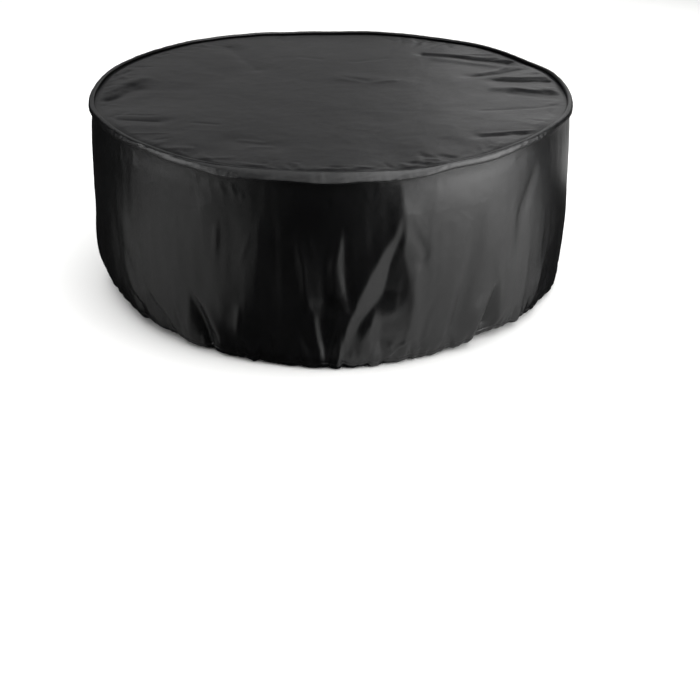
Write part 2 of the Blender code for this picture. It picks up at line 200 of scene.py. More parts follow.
# Sharp pleats and pockets, each with flat flanks between a crest and a valley. At each
# height, in millimetres: azimuths where it starts, peaks, is deepest and ends, then in
# millimetres how far its crest and its valley stand out.
Station = namedtuple("Station", "height start crest valley stop out deep")
SHARP_PLEATS = tuple(rows_of(Station, *stations) for stations in (
    # the big one
    ((610, 10.5, 14.8, 15.3, 16.2, 0, 0), (540, 8.5, 13.2, 14.9, 16, 4, -4),
     (488, 6, 11.3, 13.9, 15.4, 8, -8), (431, 4.2, 9.4, 12.8, 16, 10, -12),
     (370, 3, 7.5, 12.2, 16.8, 13, -16), (312, 2.2, 6, 11.5, 16.8, 14, -19),
     (252, 2, 5, 9.1, 15.8, 12, -15), (194, 1.2, 3.7, 6.3, 9, 9, -10),
     (133, 0.8, 2.9, 4.3, 7, 6, -6), (83, 0, 2.1, 4, 6.6, 6, -7), (30, -0.2, 1.9, 3.9, 6.4, 6, -6),
     (-20, -0.2, 1.9, 3.9, 6.4, 6, -6)),
    # three on its right
    ((250, 8, 9.6, 11, 16, 0, 0), (194, 6, 8.6, 11.2, 15.8, 6, -11),
     (133, 5.4, 8, 11, 15.2, 7, -12), (83, 6.2, 8.6, 11, 13.2, 6, -7),
     (30, 6.6, 9, 11.2, 12.8, 5, -5), (-20, 6.6, 9, 11.2, 12.8, 5, -5)),
    ((110, 12, 13, 14.4, 15.6, 0, 0), (80, 12, 13, 14.6, 16.4, 4, -4),
     (30, 11.8, 12.8, 14.6, 16.4, 4, -4), (-20, 11.8, 12.8, 14.6, 16.4, 4, -4)),
    ((110, 15.8, 16.8, 17.8, 19, 0, 0), (70, 15.8, 16.8, 18.4, 19.8, 4, -6),
     (25, 15.4, 16.4, 18, 19.4, 4, -6), (-20, 15.4, 16.4, 18, 19.4, 4, -6)),
    # two on its left
    ((236, -4.6, -3.9, -2.6, 1, 0, 0), (215, -4.6, -3.7, -2.6, 1, 4, -4),
     (133, -4.2, -3.1, -1.9, 1, 4, -6), (83, -3.6, -2.5, -1.3, 1, 4, -6),
     (30, -3.2, -2.2, -1, 1, 4, -6), (-20, -3.2, -2.2, -1, 1, 4, -6)),
    ((230, -10, -8.8, -7.6, -6.4, 0, 0), (194, -9.8, -8.6, -7.4, -6, 2, -2),
     (133, -8.8, -7.3, -6.1, -4.6, 3, -4), (83, -7.4, -5.9, -4.7, -3.4, 4, -4),
     (30, -6.8, -5.3, -4.1, -3.2, 4, -4), (-20, -6.8, -5.3, -4.1, -3.2, 4, -4)),
    # lit fold beside the middle, with the pocket on its right
    ((600, 1.6, 2.1, 2.6, 3.4, 0, 0), (554, 1.4, 2, 2.9, 4.4, 2, -1), (495, 0.8, 1.5, 3, 5, 3, -3),
     (436, -0.8, 0.5, 3.1, 5.2, 4, -4), (377, -0.8, 0.6, 3.1, 5.4, 4, -5),
     (316, -0.6, 0.8, 3.6, 5.6, 5, -6), (290, 0.6, 2.2, 4, 5.6, 4, -4),
     (255, 2.2, 3.3, 4.8, 5.6, 3, -3), (235, 2.6, 3.7, 4.9, 5.6, 0, 0)),
    # dark hollow further left
    ((640, -20, -15, -12.4, -11, 0, 0), (560, -20.4, -15.2, -12, -10.2, 3, -2),
     (470, -21, -15.6, -11.8, -9.8, 4, -2), (390, -20.6, -16.2, -12, -10.2, 3, -1.5),
     (320, -20, -16.4, -12.4, -10.6, 2, -1), (250, -19, -16, -12.8, -11, 0, 0)),
    # pockets at the hem, left of the front
    ((262, -35, -33.2, -32.9, -31.4, 0, 0), (240, -35.4, -33.2, -32.4, -30.8, 2, -5),
     (205, -35.4, -33.3, -31.4, -28.6, 3, -17), (150, -35.8, -33.5, -30.4, -26.8, 6, -29),
     (95, -36.2, -33.7, -29.8, -25.4, 6, -34), (50, -36.6, -33.9, -29.4, -25, 5, -26),
     (15, -36.6, -34.3, -29.3, -25.6, 3, -12), (-20, -36.6, -34.5, -29.3, -26, 2, -8)),
    ((188, -49.6, -48, -47.4, -46, 0, 0), (160, -49.8, -47.8, -46.2, -44.4, 3, -9),
     (125, -49.8, -47.7, -43.6, -41.6, 4, -18), (88, -49.6, -47.5, -41.6, -39.4, 4, -20),
     (50, -49.2, -47.2, -40.2, -37.8, 3, -14), (15, -49.2, -47.2, -40, -37.4, 2, -8),
     (-20, -49.2, -47.2, -40, -37.4, 2, -7)),
    ((162, -56.2, -55, -54.2, -52.8, 0, 0), (145, -56.2, -54.6, -53, -51.4, 2, -6),
     (110, -56, -54.2, -50.8, -48.8, 3, -12), (70, -55.6, -53.8, -50.2, -48.4, 3, -10),
     (25, -55.6, -53.8, -50.2, -48.4, 2, -6), (-20, -55.6, -53.8, -50.2, -48.4, 2, -5)),
    # pocket at the hem, right of the front
    ((264, 38.6, 39.6, 40.2, 41, 0, 0), (240, 36.6, 39.2, 40, 41.4, 3, -8),
     (206, 35, 38.2, 39.2, 41.6, 5, -22), (163, 33.8, 36.9, 38.5, 42, 6, -34),
     (123, 32.8, 36, 38.5, 42.2, 6, -38), (83, 31.8, 35, 38.4, 42.6, 5, -36),
     (50, 31, 34.2, 37.6, 42.8, 4, -20), (15, 31, 33.8, 36.8, 42.8, 2, -10),
     (-20, 31, 33.8, 36.8, 42.8, 2, -9)),
    # turned side at the far right
    ((280, 57, 61, 63, 70, 0, 0), (229, 55, 60.4, 63.6, 72, 4, -6),
     (164, 53, 58.3, 62.6, 72, 6, -14), (95, 52, 57.8, 62, 72, 6, -14),
     (40, 52, 57.6, 61.6, 72, 3, -8), (-20, 52, 57.6, 61.6, 72, 2, -5)),
))
SHARP_NEAR = 14.0  # degrees to either side that such a pleat can reach
FACET_RISE = 1.5  # how the flank up to the crest curves: 1 is straight
FACET_ROUND = 0.0040  # how far their edges are rounded to either side
FACET_SHIFTS = (-1.0, -0.5, 0.0, 0.5, 1.0)
FACET_SHARE = 0.0002  # metres in a millimetre, shared by those five

# Folds that only the finer cloth has. Each bend has an azimuth, then in
# millimetres its height, how far the fold stands out there, and its half widths to the
# left and to the right.
Bend = namedtuple("Bend", "azimuth height out left right")
PLEAT_NEAR = 16.0  # degrees to either side that such a fold can reach
PLEAT_END = 0.03  # length over which it can run out below its foot
PLEATS = tuple(rows_of(Bend, *bends) for bends in (
    # lit ridge in the hollow beside the big pleat, and the lip that the hem lifts
    ((16, 410, 0, 10, 9), (14.6, 350, 1, 11, 9), (14, 246, 1, 11, 9), (12.9, 160, 0, 9, 8)),
    ((17.4, 110, 0, 14, 10), (15.6, 86, 5, 18, 9), (13.4, 56, 4, 18, 9), (11.4, 30, 2, 14, 9),
     (10.4, 8, 0, 10, 8)),
    # lowest tip of the corner that the cloth is pulled over
    ((17, 600, 0, 30, 12), (18.6, 530, -2.5, 26, 16), (20.6, 460, -3.5, 24, 18),
     (20, 420, -2.5, 20, 16), (18.6, 395, 0, 20, 14)),
    # hollow middle, the pocket under it and a dimple above it
    ((-1, 505, 0, 20, 12), (-1, 485, -2.5, 24, 10), (-1, 310, -2.5, 24, 10), (-1, 290, 0, 20, 10)),
    ((-0.6, 302, 0, 30, 26), (-0.6, 288, -6, 40, 32), (-0.8, 250, -6, 40, 30),
     (-0.8, 222, 0, 34, 26)),
    ((-0.6, 702, 0, 9, 7), (-0.4, 676, -2, 9, 7), (-0.2, 652, 0, 9, 7)),
    # fine folds left of the middle
    ((-4.5, 550, 0, 7, 6), (-4.3, 530, 3, 8, 6), (-3.5, 485, 3, 8, 6), (-3.3, 465, 0, 7, 6)),
    ((-7, 550, 0, 10, 8), (-6.8, 525, 1, 10, 8), (-6.5, 495, 2, 10, 8), (-5.5, 436, 2.5, 10, 8),
     (-5.5, 377, 3.5, 10, 8), (-5.4, 316, 3.5, 10, 8), (-4.6, 262, 3, 10, 8), (-3.9, 238, 0, 8, 8)),
    ((-10.4, 440, 0, 9, 8), (-10.4, 400, 1.2, 9, 8), (-10.4, 180, 2, 10, 9), (-9.8, 130, 0, 9, 9)),
    # right of the front
    ((10.6, 180, 0, 9, 9), (11, 110, -3, 11, 12), (11.4, 40, -4, 11, 12)),
    ((24.6, 300, 0, 22, 12), (22.6, 240, -3, 22, 12), (21.2, 170, -3, 20, 12),
     (20.4, 90, -4, 18, 12)),
    ((39.2, 250, 0, 10, 12), (37.2, 180, 2, 12, 16), (35, 100, 3, 12, 14), (33.6, 30, 3, 12, 12)),
    ((52.4, 690, 0, 16, 24), (51, 640, -2, 16, 24), (47, 530, -2.5, 16, 24),
     (45.6, 450, 0, 16, 20)),
    ((19.4, 60, 0, 10, 10), (19, 36, -4, 10, 10), (18.6, 10, -5, 10, 10)),
    ((21.8, 110, 0, 10, 9), (21, 80, -3, 11, 9), (20.4, 20, -5, 11, 9)),
    ((41.4, 110, 0, 12, 10), (41, 74, -5, 14, 10), (40.6, 30, -6, 12, 10)),
    ((25.6, 70, 0, 12, 10), (25.2, 42, -4, 12, 10), (24.8, 10, -4, 12, 10)),
    # left of the front
    ((-25, 575, 0, 11, 10), (-25, 540, 3.5, 12, 11), (-25.2, 475, 3.5, 12, 11),
     (-25.5, 425, 0, 11, 10)),
    ((-17.5, 545, 0, 12, 10), (-17.7, 520, 1.4, 12, 9), (-19.2, 442, 1.4, 12, 9),
     (-19.8, 400, 0, 10, 9)),
    ((-20.5, 240, 0, 12, 10), (-20.6, 215, 3, 12, 10), (-21, 140, 3, 12, 10),
     (-21, 112, 0, 12, 10)),
    ((-20, 120, 0, 12, 9), (-19.7, 100, 4, 14, 10), (-18.5, 58, 5, 14, 10), (-18, 20, 4, 12, 9)),
    # drawn seam under the rim
    ((-31.6, 768, 0, 12, 8), (-31.2, 748, 2, 12, 7), (-30, 730, 1.5, 10, 7), (-29.6, 705, 0, 9, 7)),
    ((-30, 768, 0, 8, 9), (-29.6, 752, -2.2, 8, 9), (-28.8, 735, -1.6, 8, 9),
     (-28.4, 700, 0, 8, 9)),
    ((-24.2, 735, 0, 9, 8), (-23.8, 710, 2.2, 10, 8), (-23.2, 690, 1.6, 9, 8),
     (-22.8, 665, 0, 8, 8)),
    ((-21.6, 735, 0, 8, 8), (-21.2, 712, 2, 9, 7), (-20.6, 690, 1.2, 8, 7), (-20.2, 670, 0, 8, 7)),
    ((-19.2, 705, 0, 8, 8), (-18.8, 682, 1.8, 9, 7), (-18.2, 660, 0, 8, 7)),
    ((-31, 720, 0, 12, 10), (-30.4, 680, -1.8, 12, 10), (-29.8, 640, -1.4, 12, 10),
     (-29.4, 600, 0, 12, 10)),
))

# Creases of the top panel, each along a line between two places on it.
Crease = namedtuple("Crease", "depth half_width x1 y1 x2 y2")
CREASES = rows_of(
    Crease,
    # right, behind
    (-0.0055, 0.034, 0.422, 0.58, 0.8, 0.44), (0.004, 0.032, 0.47, 0.5, 0.77, 0.38),
    (-0.005, 0.032, 0.6, 0.24, 0.85, 0.32), (-0.005, 0.036, 0.7, 0.15, 0.93, 0.125),
    (0.004, 0.034, 0.69, 0.05, 0.92, 0.02), (-0.004, 0.034, 0.77, -0.03, 0.93, -0.09),
    # right, in front
    (-0.004, 0.036, 0.56, -0.575, 0.73, -0.57),
    # left
    (-0.005, 0.034, -0.9, -0.12, -0.8, 0.02), (0.004, 0.034, -0.92, 0.02, -0.8, 0.15),
    (-0.0035, 0.036, -0.812, -0.406, -0.66, -0.406),
    # middle
    (0.0035, 0.06, 0.057, 0.226, 0.3, 0.165), (-0.0035, 0.06, -0.44, 0.64, -0.32, 0.34),
    (-0.003, 0.06, -0.36, -0.6, -0.2, -0.68),
)
FINE_CREASES = rows_of(
    Crease,
    # right, behind
    (0.0024, 0.012, 0.43, 0.61, 0.78, 0.5), (-0.0028, 0.01, 0.422, 0.577, 0.786, 0.456),
    (-0.0024, 0.01, 0.784, 0.458, 0.848, 0.363), (-0.0024, 0.011, 0.617, 0.241, 0.828, 0.324),
    (0.002, 0.012, 0.64, 0.285, 0.8, 0.375), (-0.0026, 0.011, 0.712, 0.157, 0.94, 0.131),
    (0.0022, 0.012, 0.74, 0.2, 0.93, 0.18), (-0.002, 0.01, 0.776, 0.008, 0.94, -0.064),
    (0.0018, 0.01, 0.76, 0.045, 0.93, -0.02), (-0.0014, 0.012, 0.608, -0.261, 0.915, -0.206),
    # right, in front
    (-0.002, 0.01, 0.565, -0.581, 0.76, -0.57), (0.0016, 0.011, 0.58, -0.55, 0.77, -0.535),
    # left
    (-0.0024, 0.011, -0.925, -0.16, -0.847, -0.016), (-0.0022, 0.012, -0.93, 0.16, -0.87, 0.256),
    (0.0018, 0.012, -0.93, -0.02, -0.84, 0.06), (-0.0016, 0.009, -0.812, -0.406, -0.674, -0.406),
    (-0.0014, 0.01, -0.83, -0.34, -0.7, -0.33), (-0.0014, 0.01, -0.529, -0.413, -0.442, -0.425),
    # middle
    (-0.0018, 0.016, 0.057, 0.226, 0.151, 0.171), (0.0016, 0.016, 0.191, 0.143, 0.27, 0.171),
    (-0.0016, 0.016, 0.095, 0.458, 0.244, 0.523), (-0.0014, 0.018, -0.138, 0.539, -0.048, 0.506),
    (-0.0016, 0.02, -0.461, 0.673, -0.326, 0.338), (0.0016, 0.014, -0.343, -0.604, -0.258, -0.639),
    (0.0016, 0.014, -0.3, -0.695, -0.218, -0.695),
    # along the front of the rim
    (0.0034, 0.011, -0.04, -0.93, 0.12, -0.922), (-0.003, 0.01, 0, -0.908, 0.165, -0.935),
    (-0.0026, 0.009, 0.2, -0.87, 0.233, -0.932), (0.0026, 0.009, 0.254, -0.865, 0.3, -0.905),
    (-0.0024, 0.009, 0.29, -0.85, 0.35, -0.88), (0.003, 0.01, 0.34, -0.815, 0.42, -0.84),
    (-0.0022, 0.009, 0.4, -0.79, 0.46, -0.815), (0.0032, 0.009, -0.124, -0.88, -0.108, -0.95),
    (-0.0024, 0.009, -0.15, -0.885, -0.14, -0.95), (0.0022, 0.01, -0.33, -0.86, -0.24, -0.915),
    (-0.002, 0.009, -0.235, -0.88, -0.18, -0.93),
)

# How far the top panel dips beside the binding.
DitchPoint = namedtuple("DitchPoint", "azimuth dip")
DITCH_LINE = rows_of(
    DitchPoint,
    (-180, 0.0065), (-100, 0.006), (-60, 0.003), (0, 0.0025), (60, 0.003), (100, 0.006),
    (180, 0.0065),
)

# Section of the binding: out from RIM_RADIUS and up from TOP_HEIGHT. Swell is how much
# of the strip's local fullness that point takes.
SectionPoint = namedtuple("SectionPoint", "out up swell_out swell_down")
BINDING_SECTION = rows_of(
    SectionPoint,
    (-0.0115, -0.001, 0, 0), (-0.0096, 0.0066, 0, 0), (-0.001, 0.0084, 0.3, 0),
    (0.0094, 0.0078, 0.8, 0.2), (0.012, 0.002, 1, 0.5), (0.012, -0.0185, 1, 1),
    (0.0036, -0.0215, 0, 1),
)
# The same where the strip has come loose at the front and hangs out like a short skirt.
LOOSE_SECTION = rows_of(
    SectionPoint,
    (-0.0125, -0.001, 0, 0), (-0.008, 0.0068, 0, 0), (0, 0.0076, 0.3, 0),
    (0.0095, -0.002, 0.6, 0.4), (0.0175, -0.014, 0.8, 1), (0.0235, -0.0255, 0.8, 1),
    (0.006, -0.0262, 0, 1),
)
# And behind, where it leans outwards, so that only its inner side shows above the panel.
LEANING_SECTION = rows_of(
    SectionPoint,
    (-0.0115, -0.001, 0, 0), (-0.01, 0.0072, 0, 0), (-0.0064, 0.0096, 0, 0),
    (0.002, 0.0056, 0.3, 0.2), (0.0094, -0.002, 1, 0.6), (0.0118, -0.015, 1, 1),
    (0.0036, -0.0215, 0, 1),
)
StripPoint = namedtuple("StripPoint", "azimuth loose leaning")
STRIP_LINE = rows_of(
    StripPoint,
    (-180, 0, 1), (-100, 0, 1), (-76, 0, 0.4), (-60, 0, 0), (-31, 0, 0), (-21, 0.7, 0), (-12, 1, 0),
    (9, 1, 0), (19, 0.5, 0), (27, 0, 0), (60, 0, 0), (76, 0, 0.4), (100, 0, 1), (180, 0, 1),
)
SWELL_OUT = 0.0030  # fullness of the strip, outwards
SWELL_DOWN = 0.0055  # fullness of the strip, downwards

# ---- small chance folds
# How many there are, the azimuths that they gather at, how far they stray from those and
# lean, in degrees, and where they start; then the least reach, depth and width, how much
# chance adds to it, and a bias that above 1 keeps most of them small.
Puckers = namedtuple("Puckers", "count groups stray lean start reach depth width")
HEM_PUCKERS = Puckers(  # up from the hem: so many to a scallop
    1.4, None, 0.8, 1.2, 0.0, (0.030, 0.13, 2.2), (0.0014, 0.0034, 1.0), (0.006, 0.006, 1.0))
SEAM_PUCKERS = Puckers(  # down the wall from the rim's seam, from a height
    34, (-150, -108, -64, 74, 118, 160), 14.0, 0.5, 0.768,
    (0.03, 0.06, 2.0), (0.0004, 0.0008, 1.0), (0.008, 0.008, 1.0))
RIM_PUCKERS = Puckers(  # in over the top panel from it, from a radius
    170, (-160, -120, -92, -40, -8, 20, 58, 96, 122, 150), 13.0, 4.0, 0.952,
    (0.03, 0.10, 2.0), (0.0005, 0.0012, 1.0), (0.009, 0.007, 1.0))
PUCKER_SEED = 11  # settles where they fall
SCALLOP_SEED = 5  # and how uneven the hem's scallops are
SCALLOP_STEP = (0.6, 1.4)  # shares of an even step that a scallop can take
SCALLOP_SIZE = (0.35, 1.0)  # and how large it can be
SCALLOP_ROUND = 0.7  # below 1 they are broad, with tight puckers between them
SCALLOP_FULLEST = 1.2  # a wider one than this puffs no further
SCALLOP_LEVEL = 0.45  # sets them about evenly in and out

# Soft chance relief: how deep, how wide around (a share of the radius) and up, and its seed.
Grain = namedtuple("Grain", "depth around up seed")
WALL_DRIFT = Grain(0.55, 0.16, 0.22, 3.0)  # in degrees: how folds stray from their lines
FINE_DRIFT = 0.4  # share of it that the finer folds have
SHARP_DRIFT = 0.2  # and the sharp pleats
SLACK_GRAIN = Grain(0.0026, 0.085, 0.50, 7.0)
HANGING_GRAIN = Grain(0.0012, 0.034, 0.24, 11.0)
RUMPLE_GRAIN = Grain(0.0005, 0.030, 0.045, 17.0)
SLACK_LEAST = 0.35  # how much of HANGING_GRAIN the taut upper cloth has
TOP_DRIFT = Grain(0.014, 0.11, 0.11, 4.0)  # how far creases stray from their lines
TOP_GRAINS = rows_of(
    Grain,
    (0.003, 0.36, 0.36, 8), (0.001, 0.12, 0.12, 12), (0.0004, 0.045, 0.045, 16),
)
CRUSH_ROUND = 1.2  # how the strip's dents fade to its edges
CRUSH_GRAIN = Grain(0.0012, 0.016, 0.9, 21.0)
SLANTED_GRAIN = Grain(0.0016, 0.045, 1.3, 25.0)
SLANT = 12  # degrees that its dents slant across the strip
PINCH_GRAIN = Grain(1.0, 0.022, 2.5, 31.0)
PINCH_SLANT = 3
PINCH_OVER = 0.28  # only its strongest dents pinch the strip
PINCH_DEPTH = 0.0035
LOW_WEAR_GRAIN = Grain(0.5, 0.05, 0.1, 41.0)
STRIP_WEAR_GRAIN = Grain(0.5, 0.03, 1.0, 51.0)

# ---- how the cloth is worn grey, from 0 to 1
HEM_WEAR = 0.75  # on the hem's ridges
HEM_WEAR_REACH = 0.012
LOW_WEAR = 0.35  # in patches on the foot of the wall
LOW_WEAR_REACH = 0.10
RIM_WEAR = 0.25  # on the edge of the top panel
RIM_WEAR_FROM = 0.93  # from this radius
RIM_WEAR_EASE = 0.05  # over this width
STRIP_WEAR = 0.30  # along the middle of the binding

# ---- sizes of what the cloth and thread are drawn with
CRUMPLE_SIZE = 0.085  # of the soft dents
CREASE_SPACING = 0.16  # of the faint lines between them
CRUMPLE_DEPTH = 0.003
WEAVE_DEPTH = 0.00012
DUST_SIZE = 0.22  # of the cloudy patches
TWIST_PITCH = 0.0005  # of the thread's ribs
TWIST_DEPTH = 0.0001
WAVE_BANDS = 0.314  # a wave texture's scale for one band in a unit

# ---- stitches
STITCH_RISE = 0.0002  # how far a stitch's middle stands above the cloth
HEM_STITCH_RADIUS = 0.945  # of the hem's round, for an even pitch
HEM_STITCH_ABOVE = 0.0004  # how far above the tunnel's seam they lie
StitchRow = namedtuple("StitchRow", "name across")
BINDING_STITCHES = rows_of(
    StitchRow,
    ("upper_stitches", 0.075),
    ("lower_stitches", 0.80),
)

# ---- the binding's strip
STRIP_SHOWN_WIDTH = 0.055  # width that the weave is drawn over
STRIP_CLOTH = 0.9  # share of the cloth's thickness that the strip has

# ---- studio
# Sheets of grey paper on the floor round the cover, seen only in its gloss: each one's
# middle, how far it lies above the floor, its half sizes and its turn in degrees.
Card = namedtuple("Card", "name x y lift half_width half_length turn")
CARDS = rows_of(
    Card,
    ("right_card", 1.82, -1.48, 0.001, 1.08, 1.30, 30.0),
    ("foot_card", 0.36, -1.08, 0.002, 0.30, 0.19, 18.0),
    ("left_card", -1.81, -1.34, 0.001, 0.87, 1.15, -31.0),
    ("back_card", 0.70, 2.35, 0.001, 1.90, 1.20, -14.0),
)
# Soft lights: where each is, the point that it faces, its size, and whether gloss shows it.
Light = namedtuple("Light", "name place aim size in_gloss")
LIGHTS = rows_of(
    Light,
    ("right_light", (3.6, -1.9, 1.1), (0.0, 0.0, 0.4), (3.8, 2.8), True),
    ("left_light", (-3.8, -1.6, 1.2), (0.0, 0.0, 0.4), (2.4, 2.0), True),
    ("back_light", (2.75, 4.4, 2.2), (0.3, 0.0, 0.7), (4.5, 2.6), True),
    ("back_left_light", (-1.6, 4.4, 2.2), (-0.3, 0.0, 0.7), (5.0, 2.6), True),
    ("top_light", (3.0, -3.0, 5.0), (3.0, -2.9, 0.0), (3.8, 9.0), True),
    ("top_left_light", (-1.7, -3.0, 5.1), (-1.7, -2.9, 0.0), (5.6, 9.0), True),
    ("ceiling_light", (-1.8, 2.6, 5.5), (-1.8, 2.7, 0.0), (9.0, 9.0), False),
)
AIR_IN_GLOSS = 0.008  # grey of the air that the cloth's gloss and shade see
AIR_SEEN = 1.0  # and that shows round the floor
FLOOR_SIZE = 14.0  # half the floor's width
SENSOR_WIDTH = 36.0  # of the camera, in millimetres
CAMERA_PLACE = (0.0, -5.93, 2.63)
CAMERA_TILT = 21.0  # degrees downwards
CAMERA_SHIFT_X = 0.0276
CAMERA_SHIFT_Y = -0.230

# ---- how the finer cloth is divided
Pace = namedtuple("Pace", "share reach")
WALL_COLUMNS = 600
WALL_ROWS = 76
# Azimuth reached at a share of the wall's columns.
ROUND_PACE = rows_of(
    Pace,
    (0, -180), (0.265, -60), (0.4, -22), (0.62, 24), (0.74, 60), (1, 180),
)
# Share of its height reached at a share of its rows.
UP_PACE = rows_of(
    Pace,
    (0, 0), (0.18, 0.045), (0.36, 0.14), (0.8, 0.87), (0.93, 0.97), (1, 1),
)
TOP_GRID = 204
TOP_EVENING = 0.35  # how far the top panel's squares are evened out
TOP_EVEN_AT = 0.85  # for the ones that are squeezed this much
BINDING_COLUMNS = 900
BINDING_ROWS = 13
MAIN_GATHER = 0.40  # share of the hem's gathering that its broad gathers have


def linear(colour):
    """Linear RGB of an sRGB hex colour."""
    channels = [int(colour[i:i + 2], 16) / 255 for i in (1, 3, 5)]
    return [c / 12.92 if c <= 0.04045 else ((c + 0.055) / 1.055) ** 2.4 for c in channels]


# ---- settings that a user would change
class CoverCut(bpy.types.PropertyGroup):
    """How the cover is cut and sewn."""

    cloth: bpy.props.FloatProperty(
        name="Cloth", description="Thickness of the coated cloth with its backing",
        default=0.002, min=0.001, max=0.003, unit="LENGTH")
    sag: bpy.props.FloatProperty(
        name="Sag", description="How far the top panel sinks towards its middle",
        default=0.009, min=0.0, max=0.03, unit="LENGTH")
    gathers: bpy.props.IntProperty(
        name="Gathers", description="Broad gathers that the elastic draws round the hem",
        default=74, min=20, max=140)
    scallops: bpy.props.IntProperty(
        name="Scallops", description="Small uneven scallops that the elastic draws on the gathers",
        default=128, min=20, max=300)
    gather_depth: bpy.props.FloatProperty(
        name="Gather depth", description="How far a gather stands in or out",
        default=0.0085, min=0.0, max=0.015, unit="LENGTH")
    gather_lift: bpy.props.FloatProperty(
        name="Gather lift", description="How far the hem rises between two scallops",
        default=0.006, min=0.0, max=0.012, unit="LENGTH")
    gather_reach: bpy.props.FloatProperty(
        name="Gather reach", description="Height at which the gathers have faded out",
        default=0.085, min=0.03, max=0.2, unit="LENGTH")
    tunnel: bpy.props.FloatProperty(
        name="Hem tunnel", description="Width of the turned-up hem that holds the elastic",
        default=0.024, min=0.01, max=0.04, unit="LENGTH")
    stitch: bpy.props.FloatProperty(
        name="Stitch", description="Length of one lockstitch that shows",
        default=0.0036, min=0.002, max=0.006, unit="LENGTH")
    stitch_pitch: bpy.props.FloatProperty(
        name="Stitch pitch", description="Distance from one stitch to the next",
        default=0.0050, min=0.003, max=0.008, unit="LENGTH")
    thread: bpy.props.FloatProperty(
        name="Thread", description="Thickness of the sewing thread",
        default=0.0009, min=0.0003, max=0.0015, unit="LENGTH")


class CoverFinish(bpy.types.PropertyGroup):
    """Colours and surfaces of the cover."""

    cloth_colour: bpy.props.FloatVectorProperty(
        name="Cloth", description="Colour of the coated cloth", subtype="COLOR",
        default=linear("#040405"), min=0.0, max=1.0)
    worn_colour: bpy.props.FloatVectorProperty(
        name="Rubbed cloth", description="Colour of the coating where it is rubbed or dusty",
        subtype="COLOR", default=linear("#0D0E0F"), min=0.0, max=1.0)
    thread_colour: bpy.props.FloatVectorProperty(
        name="Thread", description="Colour of the sewing thread", subtype="COLOR",
        default=linear("#0A0A0B"), min=0.0, max=1.0)
    cloth_roughness: bpy.props.FloatProperty(
        name="Cloth roughness", description="Roughness of the coated weave",
        default=0.30, min=0.0, max=1.0, subtype="FACTOR")
    weave: bpy.props.FloatProperty(
        name="Weave", description="Spacing of the drawn threads",
        default=0.0011, min=0.0003, max=0.003, unit="LENGTH")


class CoverStudio(bpy.types.PropertyGroup):
    """Floor, lights and camera."""

    floor_colour: bpy.props.FloatVectorProperty(
        name="Floor", description="Colour of the paper floor", subtype="COLOR",
        default=linear("#F7F7F6"), min=0.0, max=1.0)
    right_card_colour: bpy.props.FloatVectorProperty(
        name="Right card", description="Colour of the grey paper card at the cover's right",
        subtype="COLOR", default=linear("#B4B4B3"), min=0.0, max=1.0)
    foot_card_colour: bpy.props.FloatVectorProperty(
        name="Foot card", description="Colour of the paper card at the foot of the cover's front",
        subtype="COLOR", default=linear("#C4C4C3"), min=0.0, max=1.0)
    left_card_colour: bpy.props.FloatVectorProperty(
        name="Left card", description="Colour of the grey paper card at the cover's left",
        subtype="COLOR", default=linear("#888887"), min=0.0, max=1.0)
    back_card_colour: bpy.props.FloatVectorProperty(
        name="Back card", description="Colour of the grey paper card behind the cover",
        subtype="COLOR", default=linear("#A0A09F"), min=0.0, max=1.0)
    right_light: bpy.props.FloatProperty(
        name="Right light", description="Power of the wide soft light on the right",
        default=155.0, min=0.0, max=2000.0, unit="POWER")
    left_light: bpy.props.FloatProperty(
        name="Left light", description="Power of the soft light on the left",
        default=43.0, min=0.0, max=2000.0, unit="POWER")
    back_light: bpy.props.FloatProperty(
        name="Back light", description="Power of the low soft light behind",
        default=28.0, min=0.0, max=2000.0, unit="POWER")
    back_left_light: bpy.props.FloatProperty(
        name="Back left light", description="Power of the weaker one beside it",
        default=12.0, min=0.0, max=2000.0, unit="POWER")
    ceiling_light: bpy.props.FloatProperty(
        name="Ceiling light", description="Power of the large soft light overhead",
        default=560.0, min=0.0, max=4000.0, unit="POWER")
    top_light: bpy.props.FloatProperty(
        name="Top light", description="Power of the long soft light over the right side",
        default=340.0, min=0.0, max=4000.0, unit="POWER")
    top_left_light: bpy.props.FloatProperty(
        name="Top left light", description="Power of the weaker one over the left side",
        default=158.0, min=0.0, max=4000.0, unit="POWER")
    lens: bpy.props.FloatProperty(
        name="Lens", description="Focal length of the camera in millimetres",
        default=76.6, min=20.0, max=200.0)


# ---- small tools
def smooth(share):
    """Ease shares between 0 and 1."""
    share = np.clip(share, 0.0, 1.0)
    return share * share * (3.0 - 2.0 * share)


def turned(angle):
    """Bring angles in degrees to between -180 and 180."""
    return (angle + 180.0) % 360.0 - 180.0


def curve_through(places, values, at):
    """Smooth curve through values at places."""
    slopes = np.gradient(values, places)
    low = np.clip(np.searchsorted(places, at) - 1, 0, len(places) - 2)
    span = places[low + 1] - places[low]
    t = np.clip((at - places[low]) / span, 0.0, 1.0)
    start = (1 + 2 * t) * (1 - t) ** 2 * values[low] + t * (1 - t) ** 2 * span * slopes[low]
    end = t * t * (3 - 2 * t) * values[low + 1] + t * t * (t - 1) * span * slopes[low + 1]
    return start + end


def columns_of(rows):
    """Columns of rows as arrays, by their names."""
    return type(rows[0])(*np.array(rows, float).T)


def cloth_noise(*axes):
    """Smooth chance relief at each place, about -1 to 1."""
    return np.array([noise.noise(Vector(place)) for place in zip(*axes)])


def round_relief(grain, azimuth, z):
    """Chance relief of a grain on the drum."""
    angle = np.radians(azimuth)
    return grain.depth * cloth_noise(
        np.sin(angle) / grain.around + grain.seed, np.cos(angle) / grain.around, z / grain.up + grain.seed)


def flat_relief(grain, x, y):
    """Chance relief of a grain on the top panel."""
    return grain.depth * cloth_noise(x / grain.around, y / grain.up, np.full_like(x, grain.seed))


